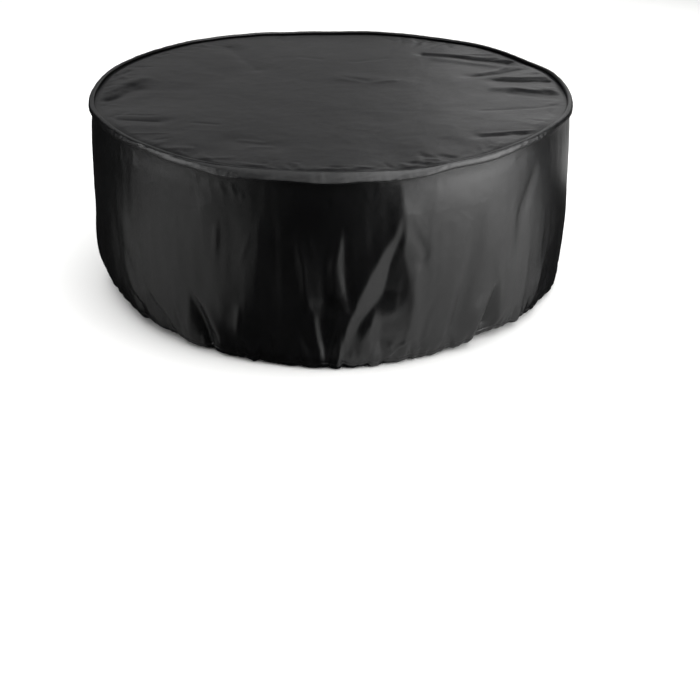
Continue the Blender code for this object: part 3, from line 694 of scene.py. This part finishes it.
def round_points(azimuth, radius, z):
    """Places at azimuths from the front."""
    angle = np.radians(azimuth)
    return np.stack([radius * np.sin(angle), -radius * np.cos(angle), z], axis=-1)


# ---- the wall's shape
def along(line, column, azimuth):
    """One column of a line's points at each azimuth, easing from one point to the next."""
    azimuth = turned(azimuth)
    line = columns_of(line)
    places, values = line.azimuth, getattr(line, column)
    low = np.clip(np.searchsorted(places, azimuth) - 1, 0, len(places) - 2)
    share = smooth((azimuth - places[low]) / (places[low + 1] - places[low]))
    return values[low] + (values[low + 1] - values[low]) * share


def waves(kinds, azimuth, z=0.0):
    """Sum of some waves at each place."""
    phase = np.radians(azimuth)
    return sum(wave.size * np.sin(wave.turns * phase + wave.start + wave.lean * z) for wave in kinds)


def gather(cut, azimuth):
    """Gathers, about -1 to 1: puffed between the tight puckers of the elastic."""
    fullness = GATHER_FULLNESS + waves(GATHER_CHANGE, azimuth)
    phase = cut.gathers * np.radians(azimuth) + waves(GATHER_DRIFT, azimuth)
    puff = np.abs(np.sin(phase / 2 + math.pi / 4)) ** GATHER_ROUND
    return fullness * (2.0 * puff - GATHER_LEVEL)


def scallops(cut, azimuth):
    """Small uneven scallops on the gathers, about -0.5 to 1."""
    chance = np.random.default_rng(SCALLOP_SEED)
    steps = chance.uniform(*SCALLOP_STEP, cut.scallops)
    sizes = chance.uniform(*SCALLOP_SIZE, cut.scallops)
    pinches = -180.0 + 360.0 * np.concatenate([[0.0], np.cumsum(steps)]) / steps.sum()
    low = np.clip(np.searchsorted(pinches, azimuth, side="right") - 1, 0, cut.scallops - 1)
    share = (azimuth - pinches[low]) / (pinches[low + 1] - pinches[low])
    puff = np.sin(math.pi * np.clip(share, 0.0, 1.0)) ** SCALLOP_ROUND
    return sizes[low] * puff * np.minimum(steps[low], SCALLOP_FULLEST) - SCALLOP_LEVEL


def hem_wave(cut, azimuth):
    """The hem's whole gathering: broad gathers with the small scallops on them."""
    return MAIN_GATHER * gather(cut, azimuth) + (1.0 - MAIN_GATHER) * scallops(cut, azimuth)


def fold_relief(folds, azimuth, z):
    """How far the folds bring each place of the wall out."""
    relief = np.zeros_like(z)
    for fold in folds:
        upper = (z - fold.mid_z) / (fold.top_z - fold.mid_z)
        lower = np.maximum((z - fold.foot_z) / (fold.mid_z - fold.foot_z), 0.0)
        above = fold.mid_az + (fold.top_az - fold.mid_az) * upper
        below = fold.foot_az + (fold.mid_az - fold.foot_az) * lower
        away = np.radians(turned(azimuth - np.where(upper >= 0.0, above, below)))
        near = (np.abs(away) * RIM_RADIUS < FOLD_WIDTHS * fold.half_width) & (z < fold.top_z + FOLD_FADE)
        length = fold.top_z - fold.foot_z
        strength = smooth((fold.top_z + FOLD_FADE - z[near]) / (FOLD_TOP * length + FOLD_FADE))
        if fold.foot_z > 0.0:
            strength *= smooth((z[near] - fold.foot_z + FOLD_FADE) / (FOLD_FOOT * length))
        share = np.exp(-(away[near] * RIM_RADIUS / fold.half_width) ** 2)
        relief[near] += fold.depth * strength * share
    return relief


def pleat_relief(pleats, azimuth, z):
    """How far the finer folds bring each place of the wall out."""
    relief = np.zeros_like(z)
    for bends in pleats:
        line = columns_of(bends[::-1])
        heights = line.height / 1000
        near = (z > heights[0] - PLEAT_END) & (z < heights[-1])
        near &= np.abs(turned(azimuth - line.azimuth.mean())) < PLEAT_NEAR
        middle = np.interp(z[near], heights, line.azimuth)
        depth, left, right = (
            np.interp(z[near], heights, column / 1000) for column in (line.out, line.left, line.right))
        away = np.radians(turned(azimuth[near] - middle)) * RIM_RADIUS
        width = np.where(away < 0.0, left, right)
        relief[near] += depth * np.exp(-(away / width) ** 2)
    return relief


def sharp_relief(azimuth, z):
    """Flat flanks of the sharp pleats, their edges a little rounded."""
    relief = np.zeros_like(z)
    for stations in SHARP_PLEATS:
        line = columns_of(stations[::-1])
        heights = line.height / 1000
        near = (z < heights[-1]) & (np.abs(turned(azimuth - line.crest.mean())) < SHARP_NEAR)
        start, crest, valley, stop, out, deep = (
            np.interp(z[near], heights, column) for column in line[1:])
        for shift in FACET_SHIFTS:
            place = turned(azimuth[near]) + math.degrees(shift * FACET_ROUND / RIM_RADIUS)
            rise = np.clip((place - start) / (crest - start), 0.0, 1.0) ** FACET_RISE
            across = np.clip((place - crest) / (valley - crest), 0.0, 1.0)
            back = np.clip((place - valley) / (stop - valley), 0.0, 1.0)
            relief[near] += FACET_SHARE * (out * rise * (1.0 - across) + deep * across * (1.0 - back))
    return relief


def corner_relief(z, azimuth):
    """Sharp upright edge that the cloth is stretched over at the front's right."""
    middle = np.interp(z, *columns_of(CORNER_LINE))
    away = np.radians(turned(azimuth - middle)) * RIM_RADIUS
    edge = np.exp(-(np.sqrt(away ** 2 + CORNER_ROUND ** 2) - CORNER_ROUND) / CORNER_WIDTH)
    return CORNER_DEPTH * edge * smooth((z - CORNER_FOOT) / CORNER_EASE)


def drawn(chance, least, more, bias):
    """A chance value: its least one and a chance addition."""
    return least + more * chance.random() ** bias


def either_way(chance):
    """Outwards or inwards, by chance."""
    return chance.choice((-1.0, 1.0))


def hem_puckers(cut):
    """Small folds that stand up from the scallops, each with its own reach and lean."""
    chance = np.random.default_rng(PUCKER_SEED)
    kind = HEM_PUCKERS
    puckers = []
    for azimuth in np.arange(-180.0, 180.0, 360.0 / (kind.count * cut.scallops)):
        azimuth = turned(azimuth + chance.normal(0.0, kind.stray))
        reach = drawn(chance, *kind.reach)
        lean = chance.normal(0.0, kind.lean) * reach / 0.1
        depth = either_way(chance) * drawn(chance, *kind.depth)
        width = drawn(chance, *kind.width)
        puckers.append(Fold(
            depth, width, azimuth + lean, reach, azimuth + 0.4 * lean, 0.5 * reach, azimuth, 0.0))
    return puckers


def seam_puckers():
    """Short folds that hang from the rim's seam, in loose groups."""
    chance = np.random.default_rng(PUCKER_SEED + 1)
    kind = SEAM_PUCKERS
    puckers = []
    for _ in range(kind.count):
        azimuth = chance.choice(kind.groups) + chance.normal(0.0, kind.stray)
        drop = drawn(chance, *kind.reach)
        depth = either_way(chance) * drawn(chance, *kind.depth)
        lean = chance.normal(0.0, kind.lean)
        width = drawn(chance, *kind.width)
        puckers.append(Fold(
            depth, width, azimuth, kind.start, azimuth + 0.5 * lean, kind.start - 0.5 * drop,
            azimuth + lean, kind.start - drop))
    return puckers


def wall_surface(cut, azimuth, share):
    """Places on the wall's outer face, from shares of its height."""
    wave = hem_wave(cut, azimuth)
    hem = along(HEM_LINE, "height", azimuth) - cut.gather_lift * wave
    hem_out = along(HEM_LINE, "out", azimuth)
    drop = along(RIM_LINE, "drop", azimuth)
    z = hem + (WALL_TOP - drop - hem) * share
    above_hem = z - hem
    calm = smooth((CALM_AT - drop - z) / (CALM_AT - CALM_FROM))
    clear = smooth((CALM_AT - CLEAR_GAP - drop - z) / CLEAR_EASE)
    held = 1.0 - HEM_HOLD * smooth((HEM_REACH - above_hem) / HEM_REACH)
    drift = round_relief(WALL_DRIFT, azimuth, z)
    slack = smooth((SLACK_FROM - z) / SLACK_EASE)

    relief = calm * waves(BILLOWS, azimuth, z)
    relief += calm * held * fold_relief(FOLDS, azimuth + drift, z)
    relief += clear * pleat_relief(PLEATS, azimuth + FINE_DRIFT * drift, z)
    relief += sharp_relief(azimuth + SHARP_DRIFT * drift, z)
    relief += clear * corner_relief(z, azimuth)
    relief += clear * fold_relief(seam_puckers(), azimuth, z)
    relief += fold_relief(hem_puckers(cut), azimuth + FINE_DRIFT * drift, above_hem)
    relief += slack * clear * round_relief(SLACK_GRAIN, azimuth, z)
    relief += (SLACK_LEAST + slack) * clear * round_relief(HANGING_GRAIN, azimuth, z)
    relief += clear * round_relief(RUMPLE_GRAIN, azimuth, z)

    near_hem = smooth((cut.gather_reach - above_hem) / cut.gather_reach)
    relief += cut.gather_depth * wave * near_hem
    tunnel = np.clip(above_hem / cut.tunnel, 0.0, 1.0)
    relief += TUNNEL_PUFF * np.sin(math.pi * tunnel) ** TUNNEL_ROUND
    relief -= TUNNEL_SINK * np.exp(-((above_hem - cut.tunnel) / TUNNEL_SINK_REACH) ** 2)
    relief += hem_out * (1.0 - smooth(share / FOOT_REACH))
    radius = curve_through(*columns_of(LEVELS), share)
    return round_points(azimuth, radius + relief, z)


# ---- the top panel's shape
def crease_relief(creases, x, y):
    """Height of the creases at each place of the top panel."""
    relief = np.zeros_like(x)
    for crease in creases:
        run_x = crease.x2 - crease.x1
        run_y = crease.y2 - crease.y1
        share = (x - crease.x1) * run_x + (y - crease.y1) * run_y
        share = np.clip(share / (run_x * run_x + run_y * run_y), 0.0, 1.0)
        away = np.hypot(x - crease.x1 - share * run_x, y - crease.y1 - share * run_y)
        near = away < FOLD_WIDTHS * crease.half_width
        relief[near] += crease.depth * np.exp(-(away[near] / crease.half_width) ** 2)
    return relief


def rim_puckers():
    """Small creases that run in from the rim's seam, thick in some stretches."""
    chance = np.random.default_rng(PUCKER_SEED + 2)
    kind = RIM_PUCKERS
    puckers = []
    for _ in range(kind.count):
        azimuth = chance.choice(kind.groups) + chance.normal(0.0, kind.stray)
        reach = drawn(chance, *kind.reach)
        start = round_points(azimuth, kind.start, 0.0)
        end = round_points(azimuth + chance.normal(0.0, kind.lean), kind.start - reach, 0.0)
        depth = either_way(chance) * drawn(chance, *kind.depth)
        puckers.append(Crease(depth, drawn(chance, *kind.width), *start[:2], *end[:2]))
    return puckers


def top_surface(cut, x, y):
    """Places on the top panel's upper face, its edge turned down inside the binding."""
    radius = np.hypot(x, y)
    inside = np.maximum(1.0 - (radius / FLAT_RADIUS) ** 2, 0.0)
    free = smooth((RELIEF_END - radius) / RELIEF_EASE)
    drift = flat_relief(TOP_DRIFT, x, y)
    relief = crease_relief(CREASES, x + drift, y - drift)
    relief += crease_relief(FINE_CREASES, x + drift, y - drift)
    relief += crease_relief(rim_puckers(), x, y)
    for grain in TOP_GRAINS:
        relief += flat_relief(grain, x, y)
    edge = np.clip((radius - TURN_RADIUS) / (TUCK_RADIUS - TURN_RADIUS), 0.0, TURN_LIMIT)
    drop = TURN_DROP * (1.0 - np.sqrt(1.0 - edge ** 2))
    azimuth = np.degrees(np.arctan2(x, -y))
    sunk = smooth((radius - FOLLOW_FROM) / FOLLOW_EASE) * along(RIM_LINE, "drop", azimuth)
    ditch = along(DITCH_LINE, "dip", azimuth) * smooth((radius - DITCH_FROM) / DITCH_EASE)
    z = TOP_HEIGHT - cut.sag * inside + free * relief - np.maximum(drop, ditch) - sunk
    return np.stack([x, y, z], axis=-1)


# ---- the binding's shape
def strip_line(section, share):
    """Values of a section's four columns at shares across the strip."""
    section = columns_of(section)
    steps = np.hypot(np.diff(section.out), np.diff(section.up))
    places = np.concatenate([[0.0], np.cumsum(steps)]) / steps.sum()
    return [curve_through(places, column, share) for column in section]


def binding_surface(azimuth, share):
    """Places on the binding's outer face, from shares across the strip."""
    loose = along(STRIP_LINE, "loose", azimuth)
    leaning = along(STRIP_LINE, "leaning", azimuth)
    sections = (strip_line(section, share) for section in (BINDING_SECTION, LOOSE_SECTION, LEANING_SECTION))
    out, up, swell_out, swell_down = (
        tight + loose * (hanging - tight) + leaning * (leant - tight)
        for tight, hanging, leant in zip(*sections))
    full = along(FULL_LINE, "fullness", azimuth) + waves(BINDING_RIPPLE, azimuth)
    middle = np.sin(math.pi * np.clip(share, 0.0, 1.0)) ** CRUSH_ROUND
    crush = round_relief(CRUSH_GRAIN, azimuth, share)
    crush += round_relief(SLANTED_GRAIN, azimuth + SLANT * share, share)
    pinch = round_relief(PINCH_GRAIN, azimuth + PINCH_SLANT * share, share)
    pinch = np.maximum(pinch - PINCH_OVER, 0.0)
    out = out + SWELL_OUT * full * swell_out + middle * (crush - PINCH_DEPTH * pinch)
    up = up - SWELL_DOWN * full * swell_down + 0.5 * middle * crush * (share < 0.5)
    return round_points(azimuth, RIM_RADIUS + out, TOP_HEIGHT + up - along(RIM_LINE, "drop", azimuth))


# ---- mesh tools
def cloth_grid(name, columns, rows):
    """Flat grid object with each point's column and row shares."""
    mesh = bpy.data.meshes.new(name)
    grid = bmesh.new()
    bmesh.ops.create_grid(grid, x_segments=columns, y_segments=rows, size=1.0)
    grid.to_mesh(mesh)
    grid.free()
    flat = np.empty(len(mesh.vertices) * 3)
    mesh.vertices.foreach_get("co", flat)
    flat = flat.reshape(-1, 3)
    piece = bpy.data.objects.new(name, mesh)
    bpy.context.scene.collection.objects.link(piece)
    return piece, (flat[:, 0] + 1.0) / 2.0, (flat[:, 1] + 1.0) / 2.0


def finish_cloth(piece, places, cut_places, wear, cloth, closed):
    """Move a grid to its hanging shape, keep its flat cut as UVs and give it thickness."""
    mesh = piece.data
    mesh.vertices.foreach_set("co", places.reshape(-1))
    corners = np.empty(len(mesh.loops), int)
    mesh.loops.foreach_get("vertex_index", corners)
    layer = mesh.uv_layers.new(name="cut")
    layer.data.foreach_set("uv", cut_places[corners].reshape(-1))
    marks = mesh.attributes.new("wear", "FLOAT", "POINT")
    marks.data.foreach_set("value", wear)
    body = bmesh.new()
    body.from_mesh(mesh)
    if closed:
        bmesh.ops.remove_doubles(body, verts=body.verts, dist=1e-5)
    bmesh.ops.recalc_face_normals(body, faces=body.faces)
    body.to_mesh(mesh)
    body.free()
    mesh.shade_smooth()
    shell = piece.modifiers.new("cloth thickness", "SOLIDIFY")
    shell.thickness = cloth
    shell.offset = -1.0
    shell.use_even_offset = True


def stitch_line(name, places, outward, cut, material):
    """One row of lockstitches, each a thread loop sunk at both ends."""
    model = bmesh.new()
    bmesh.ops.create_uvsphere(model, u_segments=6, v_segments=4, radius=1.0)
    shape = np.array([vertex.co[:] for vertex in model.verts])
    faces = [[vertex.index for vertex in face.verts] for face in model.faces]
    model.free()
    ahead = np.roll(places, -1, axis=0) - np.roll(places, 1, axis=0)
    ahead /= np.linalg.norm(ahead, axis=1)[:, None]
    side = np.cross(outward, ahead)
    side /= np.linalg.norm(side, axis=1)[:, None]
    axes = np.stack([side * cut.thread / 2, outward * cut.thread / 2, ahead * cut.stitch / 2], axis=1)
    points = np.einsum("va,sac->svc", shape, axes) + places[:, None, :]
    mesh = bpy.data.meshes.new(name)
    count = len(shape)
    mesh.from_pydata(
        points.reshape(-1, 3).tolist(), [],
        [[index + count * number for index in face] for number in range(len(places)) for face in faces])
    mesh.materials.append(material)
    mesh.shade_smooth()
    piece = bpy.data.objects.new(name, mesh)
    bpy.context.scene.collection.objects.link(piece)
    return piece


def surface_frame(surface, first, second, step=1e-3):
    """Places on a surface and the directions square to it there."""
    here = surface(first, second)
    one = surface(first + step * 20, second) - here
    two = surface(first, second + step) - here
    square = np.cross(one, two)
    square /= np.linalg.norm(square, axis=1)[:, None]
    return here, square


def even_azimuths(radius, pitch):
    """Azimuths of stitches all round, at an even pitch."""
    count = int(2 * math.pi * radius / pitch)
    return -180.0 + 360.0 * (np.arange(count) + 0.5) / count


# ---- materials
def new_material(name, viewport):
    """A new material, its nodes and its shader."""
    material = bpy.data.materials.new(name)
    material.use_nodes = True
    material.diffuse_color = (*viewport, 1.0)
    return material, material.node_tree, material.node_tree.nodes["Principled BSDF"]


def add_node(tree, kind, settings=None, inputs=None, links=None):
    """Add a node, set its properties and sockets, and link other sockets into it."""
    node = tree.nodes.new(kind)
    for name, value in (settings or {}).items():
        setattr(node, name, value)
    for name, value in (inputs or {}).items():
        node.inputs[name].default_value = value
    for name, socket in (links or {}).items():
        tree.links.new(socket, node.inputs[name])
    return node


def coated_oxford(name, finish, crumple):
    """Polyester oxford cloth, woven plain and coated with polyurethane.

    The coating gives a broad satin sheen that turns grey where light grazes it; the weave
    only breaks that sheen up. Soft crumples from folding stay in the coating.
    """
    material, tree, shader = new_material(name, finish.cloth_colour)
    cut = add_node(tree, "ShaderNodeUVMap", {"uv_map": "cut"})
    place = add_node(tree, "ShaderNodeTexCoord")
    split = add_node(tree, "ShaderNodeSeparateXYZ", links={"Vector": cut.outputs["UV"]})

    # Threads: a real 0.35 mm thread is too fine to show, so each drawn one stands for three.
    threads = []
    for axis in ("X", "Y"):
        turns = add_node(
            tree, "ShaderNodeMath", {"operation": "MULTIPLY"},
            {1: 2 * math.pi / finish.weave}, {0: split.outputs[axis]})
        wave = add_node(tree, "ShaderNodeMath", {"operation": "SINE"}, links={0: turns.outputs[0]})
        threads.append(wave.outputs[0])
    weave = add_node(
        tree, "ShaderNodeMath", {"operation": "MULTIPLY"}, links={0: threads[0], 1: threads[1]})

    # Crumples: soft dents 20 to 90 mm wide, left by folding and packing.
    dents = add_node(
        tree, "ShaderNodeTexNoise", {"noise_dimensions": "3D"},
        {"Scale": 1 / CRUMPLE_SIZE, "Detail": 3.0, "Roughness": 0.45, "Distortion": 0.6},
        {"Vector": place.outputs["Object"]})
    lines = add_node(
        tree, "ShaderNodeTexVoronoi", {"feature": "DISTANCE_TO_EDGE"},
        {"Scale": 1 / CREASE_SPACING, "Randomness": 1.0}, {"Vector": place.outputs["Object"]})
    ridge = add_node(
        tree, "ShaderNodeMapRange", {"interpolation_type": "SMOOTHSTEP"},
        {"From Min": 0.0, "From Max": 0.09, "To Min": 1.0, "To Max": 0.0},
        {"Value": lines.outputs["Distance"]})
    faint = add_node(
        tree, "ShaderNodeMath", {"operation": "MULTIPLY"}, {1: 0.25}, {0: ridge.outputs["Result"]})
    soft = add_node(
        tree, "ShaderNodeMath", {"operation": "ADD"}, links={0: dents.outputs["Fac"], 1: faint.outputs[0]})
    crumpled = add_node(
        tree, "ShaderNodeBump", inputs={"Strength": crumple, "Distance": CRUMPLE_DEPTH},
        links={"Height": soft.outputs[0]})
    woven = add_node(
        tree, "ShaderNodeBump", inputs={"Strength": 0.30, "Distance": WEAVE_DEPTH},
        links={"Height": weave.outputs[0], "Normal": crumpled.outputs["Normal"]})

    # Colour: near black, a little greyer where the coating is rubbed or has caught dust.
    worn = add_node(tree, "ShaderNodeAttribute", {"attribute_name": "wear"})
    cloudy = add_node(
        tree, "ShaderNodeTexNoise", {}, {"Scale": 1 / DUST_SIZE, "Detail": 4.0, "Roughness": 0.6},
        {"Vector": place.outputs["Object"]})
    cloud = add_node(
        tree, "ShaderNodeMapRange", {}, {"From Min": 0.35, "From Max": 0.75, "To Min": 0.0, "To Max": 0.45},
        {"Value": cloudy.outputs["Fac"]})
    rubbed = add_node(
        tree, "ShaderNodeMath", {"operation": "ADD", "use_clamp": True},
        links={0: worn.outputs["Fac"], 1: cloud.outputs["Result"]})
    colour = add_node(
        tree, "ShaderNodeMix", {"data_type": "RGBA"},
        {"A": (*finish.cloth_colour, 1.0), "B": (*finish.worn_colour, 1.0)},
        {"Factor": rubbed.outputs[0]})
    tree.links.new(colour.outputs["Result"], shader.inputs["Base Color"])

    # Roughness: satin, duller where it is rubbed.
    dull = add_node(
        tree, "ShaderNodeMapRange", {},
        {"From Min": 0.0, "From Max": 1.0,
         "To Min": finish.cloth_roughness, "To Max": finish.cloth_roughness + 0.10},
        {"Value": rubbed.outputs[0]})
    tree.links.new(dull.outputs["Result"], shader.inputs["Roughness"])
    tree.links.new(woven.outputs["Normal"], shader.inputs["Normal"])
    shader.inputs["IOR"].default_value = 1.5
    shader.inputs["Specular IOR Level"].default_value = 0.65
    return material


def spun_thread(finish):
    """Bonded polyester sewing thread: matt black, with its twist as fine slanted ribs."""
    material, tree, shader = new_material("spun polyester thread", finish.thread_colour)
    place = add_node(tree, "ShaderNodeTexCoord")
    # Twist: 0.5 mm ribs, about twice the real ones, so that they show close up.
    twist = add_node(
        tree, "ShaderNodeTexWave", {"wave_type": "BANDS", "bands_direction": "DIAGONAL"},
        {"Scale": WAVE_BANDS / TWIST_PITCH, "Distortion": 0.5}, {"Vector": place.outputs["Object"]})
    ribs = add_node(
        tree, "ShaderNodeBump", inputs={"Strength": 0.5, "Distance": TWIST_DEPTH},
        links={"Height": twist.outputs["Fac"]})
    shader.inputs["Base Color"].default_value = (*finish.thread_colour, 1.0)
    shader.inputs["Roughness"].default_value = 0.6
    tree.links.new(ribs.outputs["Normal"], shader.inputs["Normal"])
    return material


def matt_paper(name, colour):
    """Matt studio paper: even, with the faintest mottling."""
    material, tree, shader = new_material(name, colour)
    place = add_node(tree, "ShaderNodeTexCoord")
    mottle = add_node(
        tree, "ShaderNodeTexNoise", {}, {"Scale": 3.0, "Detail": 2.0}, {"Vector": place.outputs["Object"]})
    tint = add_node(
        tree, "ShaderNodeMix", {"data_type": "RGBA"},
        {"A": (*colour, 1.0), "B": (*[0.97 * c for c in colour], 1.0)},
        {"Factor": mottle.outputs["Fac"]})
    tree.links.new(tint.outputs["Result"], shader.inputs["Base Color"])
    shader.inputs["Roughness"].default_value = 0.9
    shader.inputs["Specular IOR Level"].default_value = 0.1
    return material


def own_material(name, make, *values):
    """The material of that name, made once."""
    return bpy.data.materials.get(name) or make(*values)


def cover_cloth():
    """Cloth of the top panel and the wall."""
    name = "polyurethane-coated oxford weave"
    return own_material(name, coated_oxford, name, bpy.context.scene.cover_finish, 0.22)


def binding_cloth():
    """The same cloth, cut into the folded strip of the binding."""
    name = "folded coated oxford strip"
    return own_material(name, coated_oxford, name, bpy.context.scene.cover_finish, 0.30)


def sewing_thread():
    """Thread of every stitch."""
    return own_material("spun polyester thread", spun_thread, bpy.context.scene.cover_finish)


# ---- studio tools
def soft_light(light, power):
    """Rectangular soft light that faces a point."""
    data = bpy.data.lights.new(light.name, "AREA")
    data.shape = "RECTANGLE"
    data.size, data.size_y = light.size
    data.energy = power
    lamp = bpy.data.objects.new(light.name, data)
    lamp.location = light.place
    facing = Vector(light.aim) - Vector(light.place)
    lamp.rotation_euler = facing.to_track_quat("-Z", "Y").to_euler()
    lamp.visible_camera = False
    lamp.visible_glossy = light.in_gloss
    bpy.context.scene.collection.objects.link(lamp)


def paper_card(sheet, colour):
    """Sheet of paper on the floor that only the cloth's gloss shows."""
    card, _, _ = cloth_grid(sheet.name, 2, 2)
    card.location = (sheet.x, sheet.y, sheet.lift)
    card.scale = (sheet.half_width, sheet.half_length, 1.0)
    card.rotation_euler.z = math.radians(sheet.turn)
    card.data.materials.append(matt_paper(f"grey paper of the {sheet.name}", colour))
    card.visible_camera = False
    card.visible_diffuse = False
    card.visible_shadow = False


# ---- operators
class COVER_OT_side_wall(bpy.types.Operator):
    """Make the side wall with its folds and gathered hem"""

    bl_idname = "cover.side_wall"
    bl_label = "Side wall"

    def execute(self, context):
        cut = context.scene.cover_cut
        piece, across, up = cloth_grid("side_wall_cloth", WALL_COLUMNS, WALL_ROWS)
        azimuth = np.interp(across, *columns_of(ROUND_PACE))
        share = np.interp(up, *columns_of(UP_PACE))
        places = wall_surface(cut, azimuth, share)
        height = WALL_TOP * share
        flat = np.stack([np.radians(azimuth) * RIM_RADIUS, height], axis=-1)
        ridges = np.clip(hem_wave(cut, azimuth), 0.0, 1.0)
        patches = 0.5 + round_relief(LOW_WEAR_GRAIN, azimuth, height)
        wear = HEM_WEAR * np.exp(-height / HEM_WEAR_REACH) * (0.4 + 0.6 * ridges)
        wear += LOW_WEAR * np.exp(-height / LOW_WEAR_REACH) * patches
        finish_cloth(piece, places, flat, np.clip(wear, 0.0, 1.0), cut.cloth, closed=True)
        piece.data.materials.append(cover_cloth())

        azimuths = even_azimuths(HEM_STITCH_RADIUS, cut.stitch_pitch)
        hem_share = np.full_like(azimuths, (cut.tunnel + HEM_STITCH_ABOVE) / WALL_TOP)
        spots, outward = surface_frame(lambda a, s: wall_surface(cut, a, s), azimuths, hem_share)
        spots += STITCH_RISE * outward
        stitches = stitch_line("hem_stitches", spots, outward, cut, sewing_thread())

        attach(piece, "root")
        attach(stitches, "root")
        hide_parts("side_wall")
        return {"FINISHED"}


class COVER_OT_top_panel(bpy.types.Operator):
    """Make the round top panel with its creases"""

    bl_idname = "cover.top_panel"
    bl_label = "Top panel"

    def execute(self, context):
        cut = context.scene.cover_cut
        piece, across, up = cloth_grid("top_panel_cloth", TOP_GRID, TOP_GRID)
        a = 2.0 * across - 1.0
        b = 2.0 * up - 1.0
        ring = np.maximum(np.abs(a), np.abs(b))
        long = np.hypot(a, b)
        scale = np.divide(ring, long, out=np.ones_like(long), where=long > 1e-9)
        even = 1.0 - TOP_EVENING * (1.0 - ring) * np.abs(scale - TOP_EVEN_AT)
        x = a * scale * even * TUCK_RADIUS
        y = b * scale * even * TUCK_RADIUS
        places = top_surface(cut, x, y)
        radius = np.hypot(x, y)
        wear = RIM_WEAR * smooth((radius - RIM_WEAR_FROM) / RIM_WEAR_EASE)
        finish_cloth(piece, places, np.stack([x, y], axis=-1), wear, cut.cloth, closed=False)
        piece.data.materials.append(cover_cloth())
        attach(piece, "root")
        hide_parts("top_panel")
        return {"FINISHED"}


class COVER_OT_rim_binding(bpy.types.Operator):
    """Make the folded strip that binds the seam of the rim, with its stitches"""

    bl_idname = "cover.rim_binding"
    bl_label = "Rim binding"

    def execute(self, context):
        cut = context.scene.cover_cut
        piece, across, up = cloth_grid("rim_binding_strip", BINDING_COLUMNS, BINDING_ROWS)
        azimuth = -180.0 + 360.0 * across
        share = 1.0 - up
        places = binding_surface(azimuth, share)
        flat = np.stack([np.radians(azimuth) * RIM_RADIUS, STRIP_SHOWN_WIDTH * share], axis=-1)
        patches = 0.5 + round_relief(STRIP_WEAR_GRAIN, azimuth, share)
        wear = STRIP_WEAR * np.sin(math.pi * share) ** 2 * patches
        finish_cloth(piece, places, flat, np.clip(wear, 0.0, 1.0), cut.cloth * STRIP_CLOTH, closed=True)
        piece.data.materials.append(binding_cloth())

        rows = []
        for row in BINDING_STITCHES:
            azimuths = even_azimuths(RIM_RADIUS, cut.stitch_pitch)
            shares = np.full_like(azimuths, row.across)
            spots, inward = surface_frame(binding_surface, azimuths, shares)
            spots -= STITCH_RISE * inward
            rows.append(stitch_line(row.name, spots, -inward, cut, sewing_thread()))

        for part in [piece, *rows]:
            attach(part, "root")
        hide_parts("rim_binding")
        return {"FINISHED"}


class COVER_OT_studio(bpy.types.Operator):
    """Make the pale floor, the soft lights and the camera"""

    bl_idname = "cover.studio"
    bl_label = "Studio"

    def execute(self, context):
        studio = context.scene.cover_studio
        floor, _, _ = cloth_grid("studio_floor", 8, 8)
        floor.scale = (FLOOR_SIZE, FLOOR_SIZE, 1.0)
        floor.data.materials.append(matt_paper("matt background paper", studio.floor_colour))
        floor.visible_glossy = False
        for sheet in CARDS:
            paper_card(sheet, getattr(studio, f"{sheet.name}_colour"))
        for light in LIGHTS:
            soft_light(light, getattr(studio, light.name))

        world = bpy.data.worlds.new("studio air")
        world.use_nodes = True
        context.scene.world = world
        tree = world.node_tree
        sky = tree.nodes["Background"]
        path = add_node(tree, "ShaderNodeLightPath")
        tone = add_node(
            tree, "ShaderNodeMix", {"data_type": "RGBA"},
            {"A": (*[AIR_IN_GLOSS] * 3, 1.0), "B": (*[AIR_SEEN] * 3, 1.0)},
            {"Factor": path.outputs["Is Camera Ray"]})
        tree.links.new(tone.outputs["Result"], sky.inputs["Color"])

        lens = bpy.data.cameras.new("camera")
        lens.lens = studio.lens
        lens.sensor_width = SENSOR_WIDTH
        lens.shift_x = CAMERA_SHIFT_X
        lens.shift_y = CAMERA_SHIFT_Y
        camera = bpy.data.objects.new("camera", lens)
        camera.location = CAMERA_PLACE
        camera.rotation_euler = (math.radians(90.0 - CAMERA_TILT), 0.0, 0.0)
        context.scene.collection.objects.link(camera)
        context.scene.camera = camera
        context.scene.view_settings.view_transform = "Standard"
        return {"FINISHED"}


class COVER_PT_sidebar(bpy.types.Panel):
    """Sizes, finishes and steps of the cover"""

    bl_label = "Patio furniture cover"
    bl_idname = "COVER_PT_sidebar"
    bl_space_type = "VIEW_3D"
    bl_region_type = "UI"
    bl_category = "Cover"

    def draw(self, context):
        scene = context.scene
        for group in (scene.cover_cut, scene.cover_finish, scene.cover_studio):
            box = self.layout.box()
            for name in group.__annotations__:
                box.prop(group, name)
        for step in STEPS:
            self.layout.operator(step.bl_idname)


STEPS = (COVER_OT_side_wall, COVER_OT_top_panel, COVER_OT_rim_binding, COVER_OT_studio)
GROUPS = (CoverCut, CoverFinish, CoverStudio)


def register():
    for item in (*GROUPS, *STEPS, COVER_PT_sidebar):
        bpy.utils.register_class(item)
    bpy.types.Scene.cover_cut = bpy.props.PointerProperty(type=CoverCut)
    bpy.types.Scene.cover_finish = bpy.props.PointerProperty(type=CoverFinish)
    bpy.types.Scene.cover_studio = bpy.props.PointerProperty(type=CoverStudio)


def unregister():
    del bpy.types.Scene.cover_cut
    del bpy.types.Scene.cover_finish
    del bpy.types.Scene.cover_studio
    for item in reversed((*GROUPS, *STEPS, COVER_PT_sidebar)):
        bpy.utils.unregister_class(item)


def main():
    register()
    bpy.ops.cover.side_wall()
    bpy.ops.cover.top_panel()
    bpy.ops.cover.rim_binding()
    bpy.ops.cover.studio()


if __name__ == "__main__":
    main()
